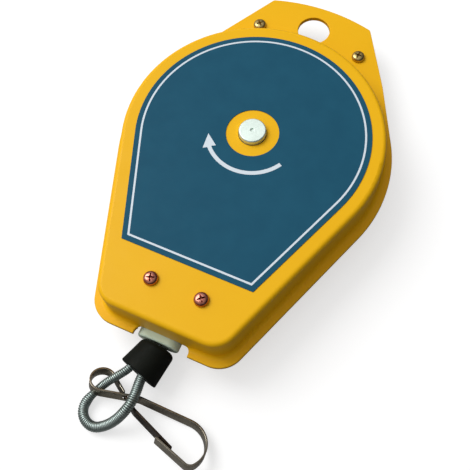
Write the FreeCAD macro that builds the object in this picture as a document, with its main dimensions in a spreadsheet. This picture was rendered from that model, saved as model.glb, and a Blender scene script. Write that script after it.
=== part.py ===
import FreeCAD, Part
import math
import os

import Sketcher
from FreeCAD import Placement, Rotation, Vector

# Spring tool balancer lying on its back.
# Frame: origin on the spring axle's axis, in the plane of the rear cover's flat back.
# +Z points out of the labelled face, +Y towards the hanging tab, the rope pays out along -Y.
# All lengths are millimetres.

SIZES = [
    # sheet-metal covers
    ("sheet", "1.0"),                # thickness of both pressed covers
    ("front_depth", "15.2"),         # front flange to labelled face
    ("rear_depth", "14.8"),          # rear flange to flat back
    ("cover_radius", "56.2"),        # front pan, round end
    ("cover_foot", "90.6"),          # front pan, axle to lower wall
    ("cover_corner", "10.5"),        # front pan, lower corners
    ("rear_step", "3.0"),            # the rear pan's round end is this much smaller
    ("rear_foot_step", "3.4"),       # and its lower wall this much nearer the axle
    ("rear_radius", "=cover_radius - rear_step"),
    ("rear_foot", "=cover_foot - rear_foot_step"),
    ("rear_corner", "8.5"),          # rear pan, lower corners
    ("side_angle", "20"),            # taper of the sides towards the foot, degrees
    ("edge_round", "2.0"),           # rounding where a pan's floor meets its wall
    ("root_round", "2.0"),           # rounding where a wall meets its flange
    ("flange_lip", "4.2"),           # flange beyond the front pan's round end
    ("flange_foot_lip", "4.0"),      # flange beyond the front pan's lower wall
    ("flange_radius", "=cover_radius + flange_lip"),
    ("flange_foot", "=cover_foot + flange_foot_lip"),
    ("flange_corner", "11.5"),
    ("tab_reach", "24.75"),          # hanging tab beyond the flange
    ("tab_side_lip", "1.7"),         # tab's straight side beyond the flange's round end
    ("tab_radius", "=flange_radius + tab_reach"),
    ("tab_side_offset", "=flange_radius + tab_side_lip"),
    ("tab_side_angle", "30"),
    ("tab_shoulder_angle", "26.5"),
    ("tab_corner", "1.6"),
    ("hang_radius", "7.5"),
    ("hang_inset", "13.55"),         # hole's centre below the tab's top arc
    ("hang_height", "=tab_radius - hang_inset"),
    # notch in both flanges for the rope guide
    ("notch_half_width", "12.0"),
    ("notch_corner", "3.0"),
    ("notch_overrun", "3.0"),        # the cut starts this far outside the flange
    ("foot_shift", "0.9"),           # the notch and the foot screws sit this far to the right
    # label plate
    ("label_margin", "6.2"),         # face left bare round the label's round end
    ("label_radius", "=cover_radius - label_margin"),
    ("label_foot", "64.6"),
    ("label_half_foot", "28.6"),
    ("label_window", "11.25"),
    ("label_thickness", "0.3"),
    # fasteners
    ("screw_head", "3.0"),
    ("screw_head_height", "2.2"),
    ("screw_shank", "1.5"),
    ("screw_play", "0.2"),
    ("tab_screw_across", "24.85"),
    ("tab_screw_inset", "20.65"),    # screws' level below the tab's top arc
    ("tab_screw_height", "=tab_radius - tab_screw_inset"),
    ("foot_screw_across", "10.87"),
    ("foot_screw_drop", "75.2"),
    ("nut_across_flats", "5.5"),
    ("nut_thickness", "2.4"),
    ("post_radius", "4.0"),
    ("spigot_radius", "2.2"),
    ("thread_depth", "9.0"),
    # axle and its bearings
    ("axle_radius", "5.8"),
    ("axle_stand_out", "2.5"),
    ("axle_recess", "0.4"),          # rear end lies this far inside the back plane
    ("axle_chamfer", "0.4"),
    ("key_across_flats", "6.0"),
    ("key_depth", "7.0"),
    ("running_gap", "0.05"),
    ("side_gap", "0.3"),
    ("bearing_wall", "2.2"),
    ("bearing_flange", "10.0"),
    ("bearing_rim", "1.0"),
    ("clip_outer", "8.4"),
    ("clip_groove", "4.9"),
    ("clip_thickness", "1.0"),
    ("clip_half_opening", "35"),     # half of the clip's open angle, degrees
    # recess in the back for the tension ratchet
    ("dish_radius", "28.0"),
    ("dish_depth", "4.2"),
    ("wheel_teeth", "24"),
    ("wheel_tip", "13.0"),
    ("wheel_root", "11.2"),
    ("wheel_thickness", "2.0"),
    ("wheel_recess", "1.0"),
    ("pawl_reach", "17.0"),          # pivot height above the tooth it stops
    ("pawl_pivot_across", "14.0"),
    ("pawl_boss", "3.2"),
    ("pawl_toe", "1.8"),             # toe's thickness outside the teeth
    ("pawl_heel_gap", "0.05"),
    ("pawl_heel_rise", "0.2"),
    ("pawl_nose_gap", "0.45"),       # nose to the tooth's root
    ("pivot_radius", "1.8"),
    ("rivet_head", "2.8"),
    ("leaf_post_across", "22.6"),
    ("leaf_post_drop", "3.0"),
    ("leaf_thickness", "0.5"),
    ("leaf_width", "1.6"),
    ("leaf_stand", "0.8"),           # blade's tip outside the pawl's toe
    ("leaf_touch_height", "4.2"),
    ("leaf_lift", "0.2"),            # spring above the wheel's back
    # drum, its lid and the spring
    ("rope_radius", "1.0"),
    ("wrap_radius", "45.0"),         # axle to the centre of the wound rope
    ("wrap_pitch", "2.1"),
    ("wrap_turns", "4"),
    ("drum_rim", "50.0"),
    ("drum_wall", "2.6"),
    ("rim_thickness", "1.4"),
    ("web_thickness", "1.4"),
    ("hub_radius", "9.4"),
    ("hub_length", "4.0"),
    ("lid_thickness", "1.4"),
    ("spring_width", "18.0"),
    ("spring_thickness", "0.6"),
    ("spring_turns", "11"),
    ("slot_width", "1.0"),
    # rope exit
    ("rope_level", "11.0"),          # height of the rope's exit, and of the second turn on the drum
    ("rope_line", "-0.4"),           # x of the rope's exit
    ("guide_centre", "-1.3"),
    ("guide_half_width", "9.1"),
    ("guide_half_depth", "4.7"),
    ("guide_foot", "93.7"),
    ("neck_half_width", "7.0"),
    ("neck_half_depth", "3.2"),
    ("guide_lip", "0.9"),
    ("guide_barrel", "5.0"),         # length of the tube inside the casing
    ("guide_bore", "1.5"),
    ("guide_mouth", "1.2"),
    # stopper and loop
    ("stopper_gap", "0.8"),
    ("stopper_level", "10.0"),
    ("stopper_top", "7.4"),
    ("stopper_bottom", "8.8"),
    ("stopper_length", "12.9"),
    ("stopper_sway", "2.9"),         # sideways offset of its lower end
    ("stopper_top_lean", "4.5"),
    ("stopper_foot_lean", "15.5"),
    ("stopper_round", "2.0"),
    ("stopper_foot_round", "0.6"),
    ("ferrule_radius", "4.9"),
    ("ferrule_recess", "2.5"),
    ("ferrule_cover", "2.5"),
    ("cable_radius", "1.45"),
    ("sleeve_radius", "2.15"),       # close-wound spring that guards the cable loop
    # snap hook
    ("strip_width", "4.8"),
    ("strip_thickness", "0.8"),
    ("hook_aside", "12.5"),          # hook's frame to the left of the stopper's lower end
    ("hook_hang", "8.93"),           # and below it
    ("hook_across", "=rope_line - stopper_sway - hook_aside"),
    ("hook_drop", "=guide_foot + stopper_gap + stopper_length + hook_hang"),
    ("hook_heading", "-11.635779605389892"),
    ("hook_bow", "10.15"),
    ("hook_bow_centre", "40.3"),
    ("hook_bow_sink", "0.5"),
    ("hook_toe", "2.9"),
    ("hook_toe_angle", "24"),
    ("hook_catch_angle", "4.5"),
    ("hook_fold", "3.0"),
    ("hook_arm_angle", "13.3"),
    ("hook_eye", "5.0"),
    ("hook_eye_back", "0.3"),
    ("hook_eye_rise", "0.8"),
    ("hook_neck", "16.2"),
    ("catch_length", "15.2"),
    ("slot_before", "1.3"),          # gate's slot in the neck, either side of the crossing
    ("slot_after", "2.0"),
    ("hinge_back", "1.27"),          # gate's hinge line before the crossing
    ("gate_neck", "3.4"),
    ("gate_overlap", "0.5"),
    ("gate_neck_width", "2.4"),
    ("gate_bend", "17.8"),
    ("gate_bend_sink", "1.3"),
    ("gate_bend_radius", "6.0"),
    ("gate_reach", "38.9"),
    ("hook_tilt", "24"),
    ("hook_sink", "3.55"),           # hook's frame behind the stopper's middle
    ("hook_height", "=stopper_level - hook_sink"),
]

FULL_TURN = 360

doc = FreeCAD.newDocument("tool_balancer")
sheet = doc.addObject("Spreadsheet::Sheet", "Sizes")
for row, (alias, number) in enumerate(SIZES, start=1):
    sheet.set("A%d" % row, alias)
    sheet.set("B%d" % row, number)
    sheet.setAlias("B%d" % row, alias)
doc.recompute()


def size(expression):
    """Value of an expression in the sheet's names."""
    return float(sheet.evalExpression(expression))


def cell(text):
    """Write sheet names in an expression as references that other objects can use."""
    out, word = [], ""
    for letter in text + " ":
        if letter.isalnum() or letter == "_":
            word += letter
        else:
            out.append("Sizes." + word if word in NAMES else word)
            out.append(letter)
            word = ""
    return "".join(out).strip()


NAMES = {alias for alias, _ in SIZES}

# Levels along Z, from the flat back upwards
SPLIT = "(rear_depth + sheet)"
PLATE_TOP = "(rear_depth + 2 * sheet)"
FACE = "(rear_depth + 2 * sheet + front_depth)"
CEILING = "(%s - sheet)" % FACE
DISH_FLOOR = "(dish_depth + sheet)"
WRAP_BAND = "(wrap_turns * wrap_pitch)"
BAND_BACK = "(rope_level - 1.5 * wrap_pitch)"
DRUM_BACK = "(%s - rim_thickness)" % BAND_BACK
BAND_FRONT = "(%s + %s)" % (BAND_BACK, WRAP_BAND)
CHAMBER_BACK = "(%s + web_thickness)" % DRUM_BACK
CHAMBER_FRONT = "(%s + spring_width + 2 * side_gap)" % CHAMBER_BACK
LID_FRONT = "(%s + lid_thickness)" % CHAMBER_FRONT
CLIP_BACK = "(%s + side_gap)" % LID_FRONT
BEARING_BACK = "(%s + clip_thickness + side_gap)" % CLIP_BACK
CUP_OUTER = "(wrap_radius - rope_radius - 0.05)"
CUP_INNER = "(%s - drum_wall)" % CUP_OUTER


# ---------------------------------------------------------------- helpers
def new_body(label):
    body = doc.addObject("PartDesign::Body", label)
    body.Label = label
    return body


def origin_plane(body, role):
    return next(f for f in body.Origin.OriginFeatures if f.Role == role)


def new_sketch(body, name, level=None, role="XY_Plane"):
    """Sketch on one of the body's own origin planes, raised along its normal."""
    sketch = body.newObject("Sketcher::SketchObject", name)
    sketch.AttachmentSupport = [(origin_plane(body, role), "")]
    sketch.MapMode = "FlatFace"
    if level is not None:
        sketch.setExpression("AttachmentOffset.Base.z", cell(level))
    return sketch


def pin(sketch, kind, *where):
    return sketch.addConstraint(Sketcher.Constraint(kind, *where))


def measure(sketch, name, expression, kind, *where):
    """Dimension bound to the sheet."""
    value = size(expression)
    if kind == "Angle":
        index = pin(sketch, kind, *where, math.radians(value))
        sketch.renameConstraint(index, name)
        sketch.setExpression("Constraints." + name, "(%s) * 1 deg" % cell(expression))
        return
    index = pin(sketch, kind, *where, value)
    sketch.renameConstraint(index, name)
    sketch.setExpression("Constraints." + name, cell(expression))


def line(sketch, start, end, construction=False):
    return sketch.addGeometry(
        Part.LineSegment(Vector(start[0], start[1], 0), Vector(end[0], end[1], 0)), construction)


def arc(sketch, centre, radius, first, last, construction=False):
    circle = Part.Circle(Vector(centre[0], centre[1], 0), Vector(0, 0, 1), radius)
    return sketch.addGeometry(
        Part.ArcOfCircle(circle, math.radians(first), math.radians(last)), construction)


def round_hole(sketch, radius, across=None, up=None, tag="hole"):
    """Circle with its centre placed from the origin; None keeps it on that axis."""
    x = size(across) if across else 0.0
    y = size(up) if up else 0.0
    g = sketch.addGeometry(Part.Circle(Vector(x, y, 0), Vector(0, 0, 1), size(radius)), False)
    measure(sketch, tag + "_radius", radius, "Radius", g)
    if across:
        measure(sketch, tag + "_x", across, "DistanceX", -1, 1, g, 3)
    else:
        pin(sketch, "PointOnObject", g, 3, -2)
    if up:
        measure(sketch, tag + "_y", up, "DistanceY", -1, 1, g, 3)
    else:
        pin(sketch, "PointOnObject", g, 3, -1)
    return g


def shield(sketch, radius, foot, corner):
    """Round top about the axle, sides that taper tangentially, flat foot, round corners."""
    r, down, c = size(radius), size(foot), size(corner)
    a = math.radians(size("side_angle"))
    cx = (r - c + (down - c) * -math.sin(a)) / math.cos(a)
    cy = -(down - c)
    right = (r * math.cos(a), -r * math.sin(a))
    low = (cx + c * math.cos(a), cy - c * math.sin(a))
    deg = math.degrees(a)
    top = arc(sketch, (0, 0), r, -deg, 180 + deg)
    left_side = line(sketch, (-right[0], right[1]), (-low[0], low[1]))
    left_turn = arc(sketch, (-cx, cy), c, 180 + deg, 270)
    base = line(sketch, (-cx, -down), (cx, -down))
    right_turn = arc(sketch, (cx, cy), c, 270, 360 - deg)
    right_side = line(sketch, low, right)
    pin(sketch, "Coincident", top, 3, -1, 1)
    pin(sketch, "Tangent", top, 2, left_side, 1)
    pin(sketch, "Tangent", left_side, 2, left_turn, 1)
    pin(sketch, "Tangent", left_turn, 2, base, 1)
    pin(sketch, "Tangent", base, 2, right_turn, 1)
    pin(sketch, "Tangent", right_turn, 2, right_side, 1)
    pin(sketch, "Tangent", right_side, 2, top, 1)
    pin(sketch, "Horizontal", base)
    pin(sketch, "Equal", left_turn, right_turn)
    measure(sketch, "round_end", radius, "Radius", top)
    measure(sketch, "turn", corner, "Radius", left_turn)
    measure(sketch, "foot", "-(%s)" % foot, "DistanceY", -1, 1, base, 1)
    measure(sketch, "right_lean", "90 - side_angle", "Angle", right_side)
    measure(sketch, "left_lean", "side_angle - 90", "Angle", left_side)


def tab(sketch):
    """Hanging tab: straight sides that leave the flange's round end tangentially."""
    r, top_r = size("flange_radius"), size("tab_radius")
    s, d = math.radians(size("tab_shoulder_angle")), size("tab_side_offset")
    t = math.radians(size("tab_side_angle"))
    p0 = (r * math.cos(s), r * math.sin(s))
    run = (d - r * math.cos(t - s)) / math.sin(t - s)
    p1 = (p0[0] - run * math.sin(s), p0[1] + run * math.cos(s))
    lift = t + math.acos(d / top_r)
    p2 = (top_r * math.cos(lift), top_r * math.sin(lift))
    g0 = line(sketch, p0, p1)
    g1 = line(sketch, p1, p2)
    g2 = arc(sketch, (0, 0), top_r, math.degrees(lift), 180 - math.degrees(lift))
    g3 = line(sketch, (-p2[0], p2[1]), (-p1[0], p1[1]))
    g4 = line(sketch, (-p1[0], p1[1]), (-p0[0], p0[1]))
    g5 = line(sketch, (-p0[0], p0[1]), p0)
    g6 = arc(sketch, (0, 0), r, math.degrees(s), 180 - math.degrees(s), True)
    for a, b in ((g0, g1), (g1, g2), (g2, g3), (g3, g4), (g4, g5), (g5, g0)):
        pin(sketch, "Coincident", a, 2, b, 1)
    pin(sketch, "Coincident", g2, 3, -1, 1)
    pin(sketch, "Coincident", g6, 3, -1, 1)
    pin(sketch, "Tangent", g6, 1, g0, 1)
    pin(sketch, "Coincident", g6, 2, g4, 2)
    pin(sketch, "Symmetric", g2, 1, g2, 2, -2)
    pin(sketch, "Symmetric", g0, 2, g3, 2, -2)
    pin(sketch, "Horizontal", g5)
    measure(sketch, "base_round", "flange_radius", "Radius", g6)
    measure(sketch, "top_round", "tab_radius", "Radius", g2)
    measure(sketch, "shoulder", "90 + tab_shoulder_angle", "Angle", g0)
    measure(sketch, "side", "90 + tab_side_angle", "Angle", g1)
    measure(sketch, "side_offset", "tab_side_offset", "Distance", -1, 1, g1)


def pad(body, sketch, length, name, reverse=False):
    feature = body.newObject("PartDesign::Pad", name)
    feature.Profile = sketch
    feature.setExpression("Length", cell(length))
    feature.Reversed = reverse
    body.Tip = feature
    doc.recompute()
    return feature


def cut(body, sketch, length, name, reverse=False):
    """Pocket; it has to take volume away. Length None cuts through everything."""
    before = body.Tip.Shape.Volume
    feature = body.newObject("PartDesign::Pocket", name)
    feature.Profile = sketch
    if length is None:
        feature.Type = "ThroughAll"
    else:
        feature.setExpression("Length", cell(length))
    feature.Reversed = reverse
    body.Tip = feature
    doc.recompute()
    if not feature.Shape.Volume < before - 1e-6:
        raise RuntimeError("pocket %s of %s removed nothing" % (name, body.Label))
    return feature


def revolve(body, sketch, name, axis="V_Axis"):
    feature = body.newObject("PartDesign::Revolution", name)
    feature.Profile = sketch
    feature.ReferenceAxis = (sketch, [axis])
    feature.Angle = 360
    body.Tip = feature
    doc.recompute()
    return feature


def edges_where(shape, test):
    return ["Edge%d" % (i + 1) for i, e in enumerate(shape.Edges) if test(e)]


def fillet(body, test, radius, name):
    base = body.Tip
    names = edges_where(base.Shape, test)
    if not names:
        raise RuntimeError("no edge for %s of %s" % (name, body.Label))
    feature = body.newObject("PartDesign::Fillet", name)
    feature.Base = (base, names)
    feature.setExpression("Radius", cell(radius))
    body.Tip = feature
    doc.recompute()
    return feature


def chamfer(body, test, length, name):
    base = body.Tip
    names = edges_where(base.Shape, test)
    if not names:
        raise RuntimeError("no edge for %s of %s" % (name, body.Label))
    feature = body.newObject("PartDesign::Chamfer", name)
    feature.Base = (base, names)
    feature.setExpression("Size", cell(length))
    body.Tip = feature
    doc.recompute()
    return feature


def level_edge(level, tolerance=1e-4):
    z = size(level)
    return lambda e: abs(e.BoundBox.ZMin - z) < tolerance and abs(e.BoundBox.ZMax - z) < tolerance


def closed_loop(sketch, points):
    """Straight-sided loop through fixed points, joined end to end."""
    ids = []
    for here, there in zip(points, points[1:] + points[:1]):
        ids.append(line(sketch, here, there))
    for a, b in zip(ids, ids[1:] + ids[:1]):
        pin(sketch, "Coincident", a, 2, b, 1)
    return ids


def steps(sketch, corners):
    """Closed stepped profile; corners are (x, y) expression pairs, sides run along the axes."""
    points = [(size(x), size(y)) for x, y in corners]
    ids = closed_loop(sketch, points)
    for i, (x, y) in enumerate(corners):
        if abs(points[i][0]) < 1e-9:
            pin(sketch, "PointOnObject", ids[i], 1, -2)
        else:
            measure(sketch, "x%d" % i, x, "DistanceX", -1, 1, ids[i], 1)
        if abs(points[i][1]) < 1e-9:
            pin(sketch, "PointOnObject", ids[i], 1, -1)
        else:
            measure(sketch, "y%d" % i, y, "DistanceY", -1, 1, ids[i], 1)
    return ids


def hexagon(sketch, across_flats):
    """Regular hexagon about the origin with a corner on the sketch's X axis."""
    tip = size(across_flats) / (2 * math.cos(math.radians(30)))
    sides = closed_loop(sketch, [(tip * math.cos(math.radians(60 * i)), tip * math.sin(math.radians(60 * i)))
                                 for i in range(6)])
    ring = sketch.addGeometry(Part.Circle(Vector(0, 0, 0), Vector(0, 0, 1), tip), True)
    pin(sketch, "Coincident", ring, 3, -1, 1)
    for g in sides:
        pin(sketch, "PointOnObject", g, 1, ring)
    for g in sides[1:]:
        pin(sketch, "Equal", sides[0], g)
    pin(sketch, "PointOnObject", sides[0], 1, -1)
    measure(sketch, "corner", "%s / sqrt(3)" % across_flats, "Radius", ring)


def stadium(sketch, half_width, half_depth, across, up):
    """Slot shape along sketch X with round ends."""
    w, h = size(half_width), size(half_depth)
    x, y = size(across), size(up)
    r = line(sketch, (x - w + h, y - h), (x + w - h, y - h))
    e = arc(sketch, (x + w - h, y), h, -90, 90)
    t = line(sketch, (x + w - h, y + h), (x - w + h, y + h))
    f = arc(sketch, (x - w + h, y), h, 90, 270)
    for a, b in ((r, e), (e, t), (t, f), (f, r)):
        pin(sketch, "Tangent", a, 2, b, 1)
    pin(sketch, "Horizontal", r)
    pin(sketch, "Equal", e, f)
    measure(sketch, "end_radius", half_depth, "Radius", e)
    measure(sketch, "right_end", "%s + %s - %s" % (across, half_width, half_depth),
            "DistanceX", -1, 1, e, 3)
    measure(sketch, "left_end", "%s - %s + %s" % (across, half_width, half_depth),
            "DistanceX", -1, 1, f, 3)
    measure(sketch, "middle", up, "DistanceY", -1, 1, e, 3)


# ---------------------------------------------------------------- pressed covers
def notch(body, level, depth, name, reverse=False):
    """Round-cornered notch through the flange's foot edge."""
    sketch = new_sketch(body, name + "_outline", level)
    w, c = size("notch_half_width"), size("notch_corner")
    x, top = size("foot_shift"), -size("cover_foot")
    low = -size("flange_foot + notch_overrun")
    g = [line(sketch, (x - w, low), (x + w, low)),
         line(sketch, (x + w, low), (x + w, top - c)),
         arc(sketch, (x + w - c, top - c), c, 0, 90),
         line(sketch, (x + w - c, top), (x - w + c, top)),
         arc(sketch, (x - w + c, top - c), c, 90, 180),
         line(sketch, (x - w, top - c), (x - w, low))]
    pin(sketch, "Coincident", g[0], 2, g[1], 1)
    pin(sketch, "Coincident", g[5], 2, g[0], 1)
    for a, b in ((1, 2), (2, 3), (3, 4), (4, 5)):
        pin(sketch, "Tangent", g[a], 2, g[b], 1)
    pin(sketch, "Horizontal", g[0])
    pin(sketch, "Horizontal", g[3])
    pin(sketch, "Vertical", g[1])
    pin(sketch, "Vertical", g[5])
    pin(sketch, "Equal", g[2], g[4])
    measure(sketch, "corner", "notch_corner", "Radius", g[2])
    measure(sketch, "right", "foot_shift + notch_half_width", "DistanceX", -1, 1, g[1], 1)
    measure(sketch, "left", "foot_shift - notch_half_width", "DistanceX", -1, 1, g[0], 1)
    measure(sketch, "head", "-cover_foot", "DistanceY", -1, 1, g[3], 1)
    measure(sketch, "past_edge", "-(flange_foot + notch_overrun)", "DistanceY", -1, 1, g[0], 1)
    return cut(body, sketch, depth, name, reverse)


def tab_holes(body, level):
    holes = new_sketch(body, "tab_holes", level)
    round_hole(holes, "hang_radius", None, "hang_height", "hang")
    round_hole(holes, "screw_shank + screw_play", "tab_screw_across", "tab_screw_height", "right")
    round_hole(holes, "screw_shank + screw_play", "-tab_screw_across", "tab_screw_height", "left")
    cut(body, holes, "2 * sheet", "tab_hole_cut")


def wall_root(level, beyond, side):
    """Edges in a level plane that bound a wall standing away from it on the given side."""
    z, limit = size(level), size(beyond)

    def test(e, shape):
        if abs(e.BoundBox.ZMin - z) > 1e-4 or abs(e.BoundBox.ZMax - z) > 1e-4:
            return False
        for face in shape.ancestorsOfType(e, Part.Face):
            if side > 0 and face.BoundBox.ZMax > limit:
                return True
            if side < 0 and face.BoundBox.ZMin < limit:
                return True
        return False
    return test


front = new_body("front_cover")
s = new_sketch(front, "front_pan", SPLIT)
shield(s, "cover_radius", "cover_foot", "cover_corner")
pad(front, s, "%s - %s" % (FACE, SPLIT), "pan")
s = new_sketch(front, "front_flange", SPLIT)
shield(s, "flange_radius", "flange_foot", "flange_corner")
pad(front, s, "sheet", "flange")
s = new_sketch(front, "front_tab", SPLIT)
tab(s)
pad(front, s, "sheet", "tab_plate")
root = wall_root(PLATE_TOP, "%s + 3" % PLATE_TOP, 1)
fillet(front, lambda e: root(e, front.Tip.Shape), "root_round", "root_rounding")
fillet(front, level_edge(FACE), "edge_round", "face_rounding")
s = new_sketch(front, "front_hollow", SPLIT)
shield(s, "cover_radius - sheet", "cover_foot - sheet", "cover_corner - sheet")
cut(front, s, "front_depth", "hollow", True)
fillet(front, level_edge(CEILING), "edge_round - sheet", "inner_rounding")
corner_radius = size("tab_radius")
tab_tip = lambda e: (e.BoundBox.ZLength > 0.5 and e.BoundBox.XLength < 1e-6
                     and abs(math.hypot(e.BoundBox.XMin, e.BoundBox.YMin) - corner_radius) < 1e-3)
fillet(front, tab_tip, "tab_corner", "tab_rounding")
tab_holes(front, PLATE_TOP)
s = new_sketch(front, "face_holes", "%s + 1" % FACE)
round_hole(s, "axle_radius + 4 * running_gap", None, None, "axle")
round_hole(s, "screw_shank + screw_play", "foot_shift + foot_screw_across",
           "-foot_screw_drop", "right")
round_hole(s, "screw_shank + screw_play", "foot_shift - foot_screw_across",
           "-foot_screw_drop", "left")
cut(front, s, "2 * sheet + 1", "face_hole_cut")
notch(front, SPLIT, "sheet + root_round + 0.2", "guide_notch", True)

rear = new_body("rear_cover")
s = new_sketch(rear, "rear_pan")
shield(s, "rear_radius", "rear_foot", "rear_corner")
pad(rear, s, SPLIT, "pan")
s = new_sketch(rear, "rear_flange", "rear_depth")
shield(s, "flange_radius", "flange_foot", "flange_corner")
pad(rear, s, "sheet", "flange")
s = new_sketch(rear, "rear_tab", "rear_depth")
tab(s)
pad(rear, s, "sheet", "tab_plate")
rear_root = wall_root("rear_depth", "rear_depth - 3", -1)
fillet(rear, lambda e: rear_root(e, rear.Tip.Shape), "root_round", "root_rounding")
fillet(rear, level_edge("0 * sheet"), "edge_round", "back_rounding")
s = new_sketch(rear, "rear_hollow", SPLIT)
shield(s, "rear_radius - sheet", "rear_foot - sheet", "rear_corner - sheet")
cut(rear, s, "rear_depth", "hollow")
fillet(rear, level_edge("sheet"), "edge_round - sheet", "inner_rounding")
s = new_sketch(rear, "dish_shell", "sheet / 2")
round_hole(s, "dish_radius + sheet")
pad(rear, s, "dish_depth + sheet / 2", "dish_wall")
s = new_sketch(rear, "dish_space")
round_hole(s, "dish_radius")
cut(rear, s, "dish_depth", "dish_cut", True)
dish_lip = size("dish_radius")
fillet(rear, lambda e: level_edge("0 * sheet")(e) and abs(e.BoundBox.XLength - 2 * dish_lip) < 1e-3,
       "sheet * 0.8", "dish_rounding")
fillet(rear, tab_tip, "tab_corner", "tab_rounding")
tab_holes(rear, SPLIT)
s = new_sketch(rear, "back_holes", "%s + 1" % DISH_FLOOR)
round_hole(s, "axle_radius + running_gap + bearing_wall", None, None, "bearing")
round_hole(s, "pivot_radius", "pawl_pivot_across", "pawl_reach", "pawl")
round_hole(s, "pivot_radius", "leaf_post_across", "-leaf_post_drop", "leaf")
cut(rear, s, "2 * sheet + 1", "bearing_cut")
s = new_sketch(rear, "post_holes", "2 * sheet")
round_hole(s, "spigot_radius", "foot_shift + foot_screw_across", "-foot_screw_drop", "right")
round_hole(s, "spigot_radius", "foot_shift - foot_screw_across", "-foot_screw_drop", "left")
cut(rear, s, "3 * sheet", "post_hole_cut")
notch(rear, SPLIT, "sheet + root_round + 0.2", "guide_notch")
s = new_sketch(rear, "collar_relief", SPLIT)
COLLAR_ROOM = "(guide_half_width + side_gap)"
steps(s, [("guide_centre - " + COLLAR_ROOM, "-cover_foot - sheet"),
          ("guide_centre + " + COLLAR_ROOM, "-cover_foot - sheet"),
          ("guide_centre + " + COLLAR_ROOM, "-rear_foot"),
          ("guide_centre - " + COLLAR_ROOM, "-rear_foot")])
cut(rear, s, "sheet + root_round + 0.2", "collar_relief_cut")
s = new_sketch(rear, "guide_slot", "rear_foot - 2 * sheet", "XZ_Plane")
stadium(s, "neck_half_width", "neck_half_depth", "guide_centre", "rope_level")
cut(rear, s, "4 * sheet", "guide_slot_cut", True)


# ---------------------------------------------------------------- label plate
label = new_body("face_label")
s = new_sketch(label, "label_outline", FACE)
r, half, drop = size("label_radius"), size("label_half_foot"), size("label_foot")
reach = math.hypot(half, drop)
turn = math.atan2(-drop, half) + math.acos(r / reach)
touch = (r * math.cos(turn), r * math.sin(turn))
g_top = arc(s, (0, 0), r, math.degrees(turn), 180 - math.degrees(turn))
g_left = line(s, (-touch[0], touch[1]), (-half, -drop))
g_foot = line(s, (-half, -drop), (half, -drop))
g_right = line(s, (half, -drop), touch)
pin(s, "Coincident", g_top, 3, -1, 1)
pin(s, "Tangent", g_top, 2, g_left, 1)
pin(s, "Coincident", g_left, 2, g_foot, 1)
pin(s, "Coincident", g_foot, 2, g_right, 1)
pin(s, "Tangent", g_right, 2, g_top, 1)
measure(s, "round_end", "label_radius", "Radius", g_top)
measure(s, "foot_left_x", "-label_half_foot", "DistanceX", -1, 1, g_foot, 1)
measure(s, "foot_left_y", "-label_foot", "DistanceY", -1, 1, g_foot, 1)
measure(s, "foot_right_x", "label_half_foot", "DistanceX", -1, 1, g_foot, 2)
measure(s, "foot_right_y", "-label_foot", "DistanceY", -1, 1, g_foot, 2)
round_hole(s, "label_window", None, None, "window")
pad(label, s, "label_thickness", "plate")


# ---------------------------------------------------------------- fasteners
def lone_screw(label, seat, length):
    """Pan-head screw turned about the body's own Z axis."""
    body = new_body(label)
    body.AllowCompound = True
    s = new_sketch(body, "screw_profile", None, "XZ_Plane")
    steps(s, [("0 * sheet", "%s - (%s)" % (seat, length)),
              ("screw_shank", "%s - (%s)" % (seat, length)),
              ("screw_shank", seat),
              ("screw_head", seat),
              ("screw_head", "%s + screw_head_height * 0.6" % seat),
              ("screw_head * 0.62", "%s + screw_head_height" % seat),
              ("0 * sheet", "%s + screw_head_height" % seat)])
    revolve(body, s, "screw")
    return body


def place_pair(label, source, first, second):
    """One node with two like solids: copies of the source at two places."""
    links = []
    for name, (across, up) in (("one", first), ("two", second)):
        copy = doc.addObject("Part::Compound", "%s_%s" % (label, name))
        copy.Links = [source]
        copy.setExpression("Placement.Base.x", cell(across))
        copy.setExpression("Placement.Base.y", cell(up))
        links.append(copy)
    group = doc.addObject("Part::Compound", label)
    group.Label = label
    group.Links = links
    doc.recompute()
    return group


TAB_PAIR = (("tab_screw_across", "tab_screw_height"), ("-tab_screw_across", "tab_screw_height"))
FOOT_PAIR = (("foot_shift + foot_screw_across", "-foot_screw_drop"),
             ("foot_shift - foot_screw_across", "-foot_screw_drop"))

tab_screw = lone_screw("tab_screw_form", PLATE_TOP, "2 * sheet + nut_thickness + 1.4")
tab_screws = place_pair("tab_screws", tab_screw, *TAB_PAIR)
foot_screw = lone_screw("foot_screw_form", FACE, "sheet + thread_depth - 1.5")
foot_screws = place_pair("foot_screws", foot_screw, *FOOT_PAIR)

nut = new_body("nut_form")
s = new_sketch(nut, "nut_outline", "rear_depth - nut_thickness")
hexagon(s, "nut_across_flats")
round_hole(s, "screw_shank", None, None, "thread")
pad(nut, s, "nut_thickness", "nut")
tab_nuts = place_pair("tab_nuts", nut, *TAB_PAIR)

post = new_body("post_form")
s = new_sketch(post, "post_profile", None, "XZ_Plane")
steps(s, [("0 * sheet", "0.1 * sheet"),
          ("spigot_radius", "0.1 * sheet"),
          ("spigot_radius", "sheet"),
          ("post_radius", "sheet"),
          ("post_radius", CEILING),
          ("screw_shank", CEILING),
          ("screw_shank", "%s - thread_depth" % CEILING),
          ("0 * sheet", "%s - thread_depth" % CEILING)])
revolve(post, s, "post")
spacer_posts = place_pair("spacer_posts", post, *FOOT_PAIR)


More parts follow.
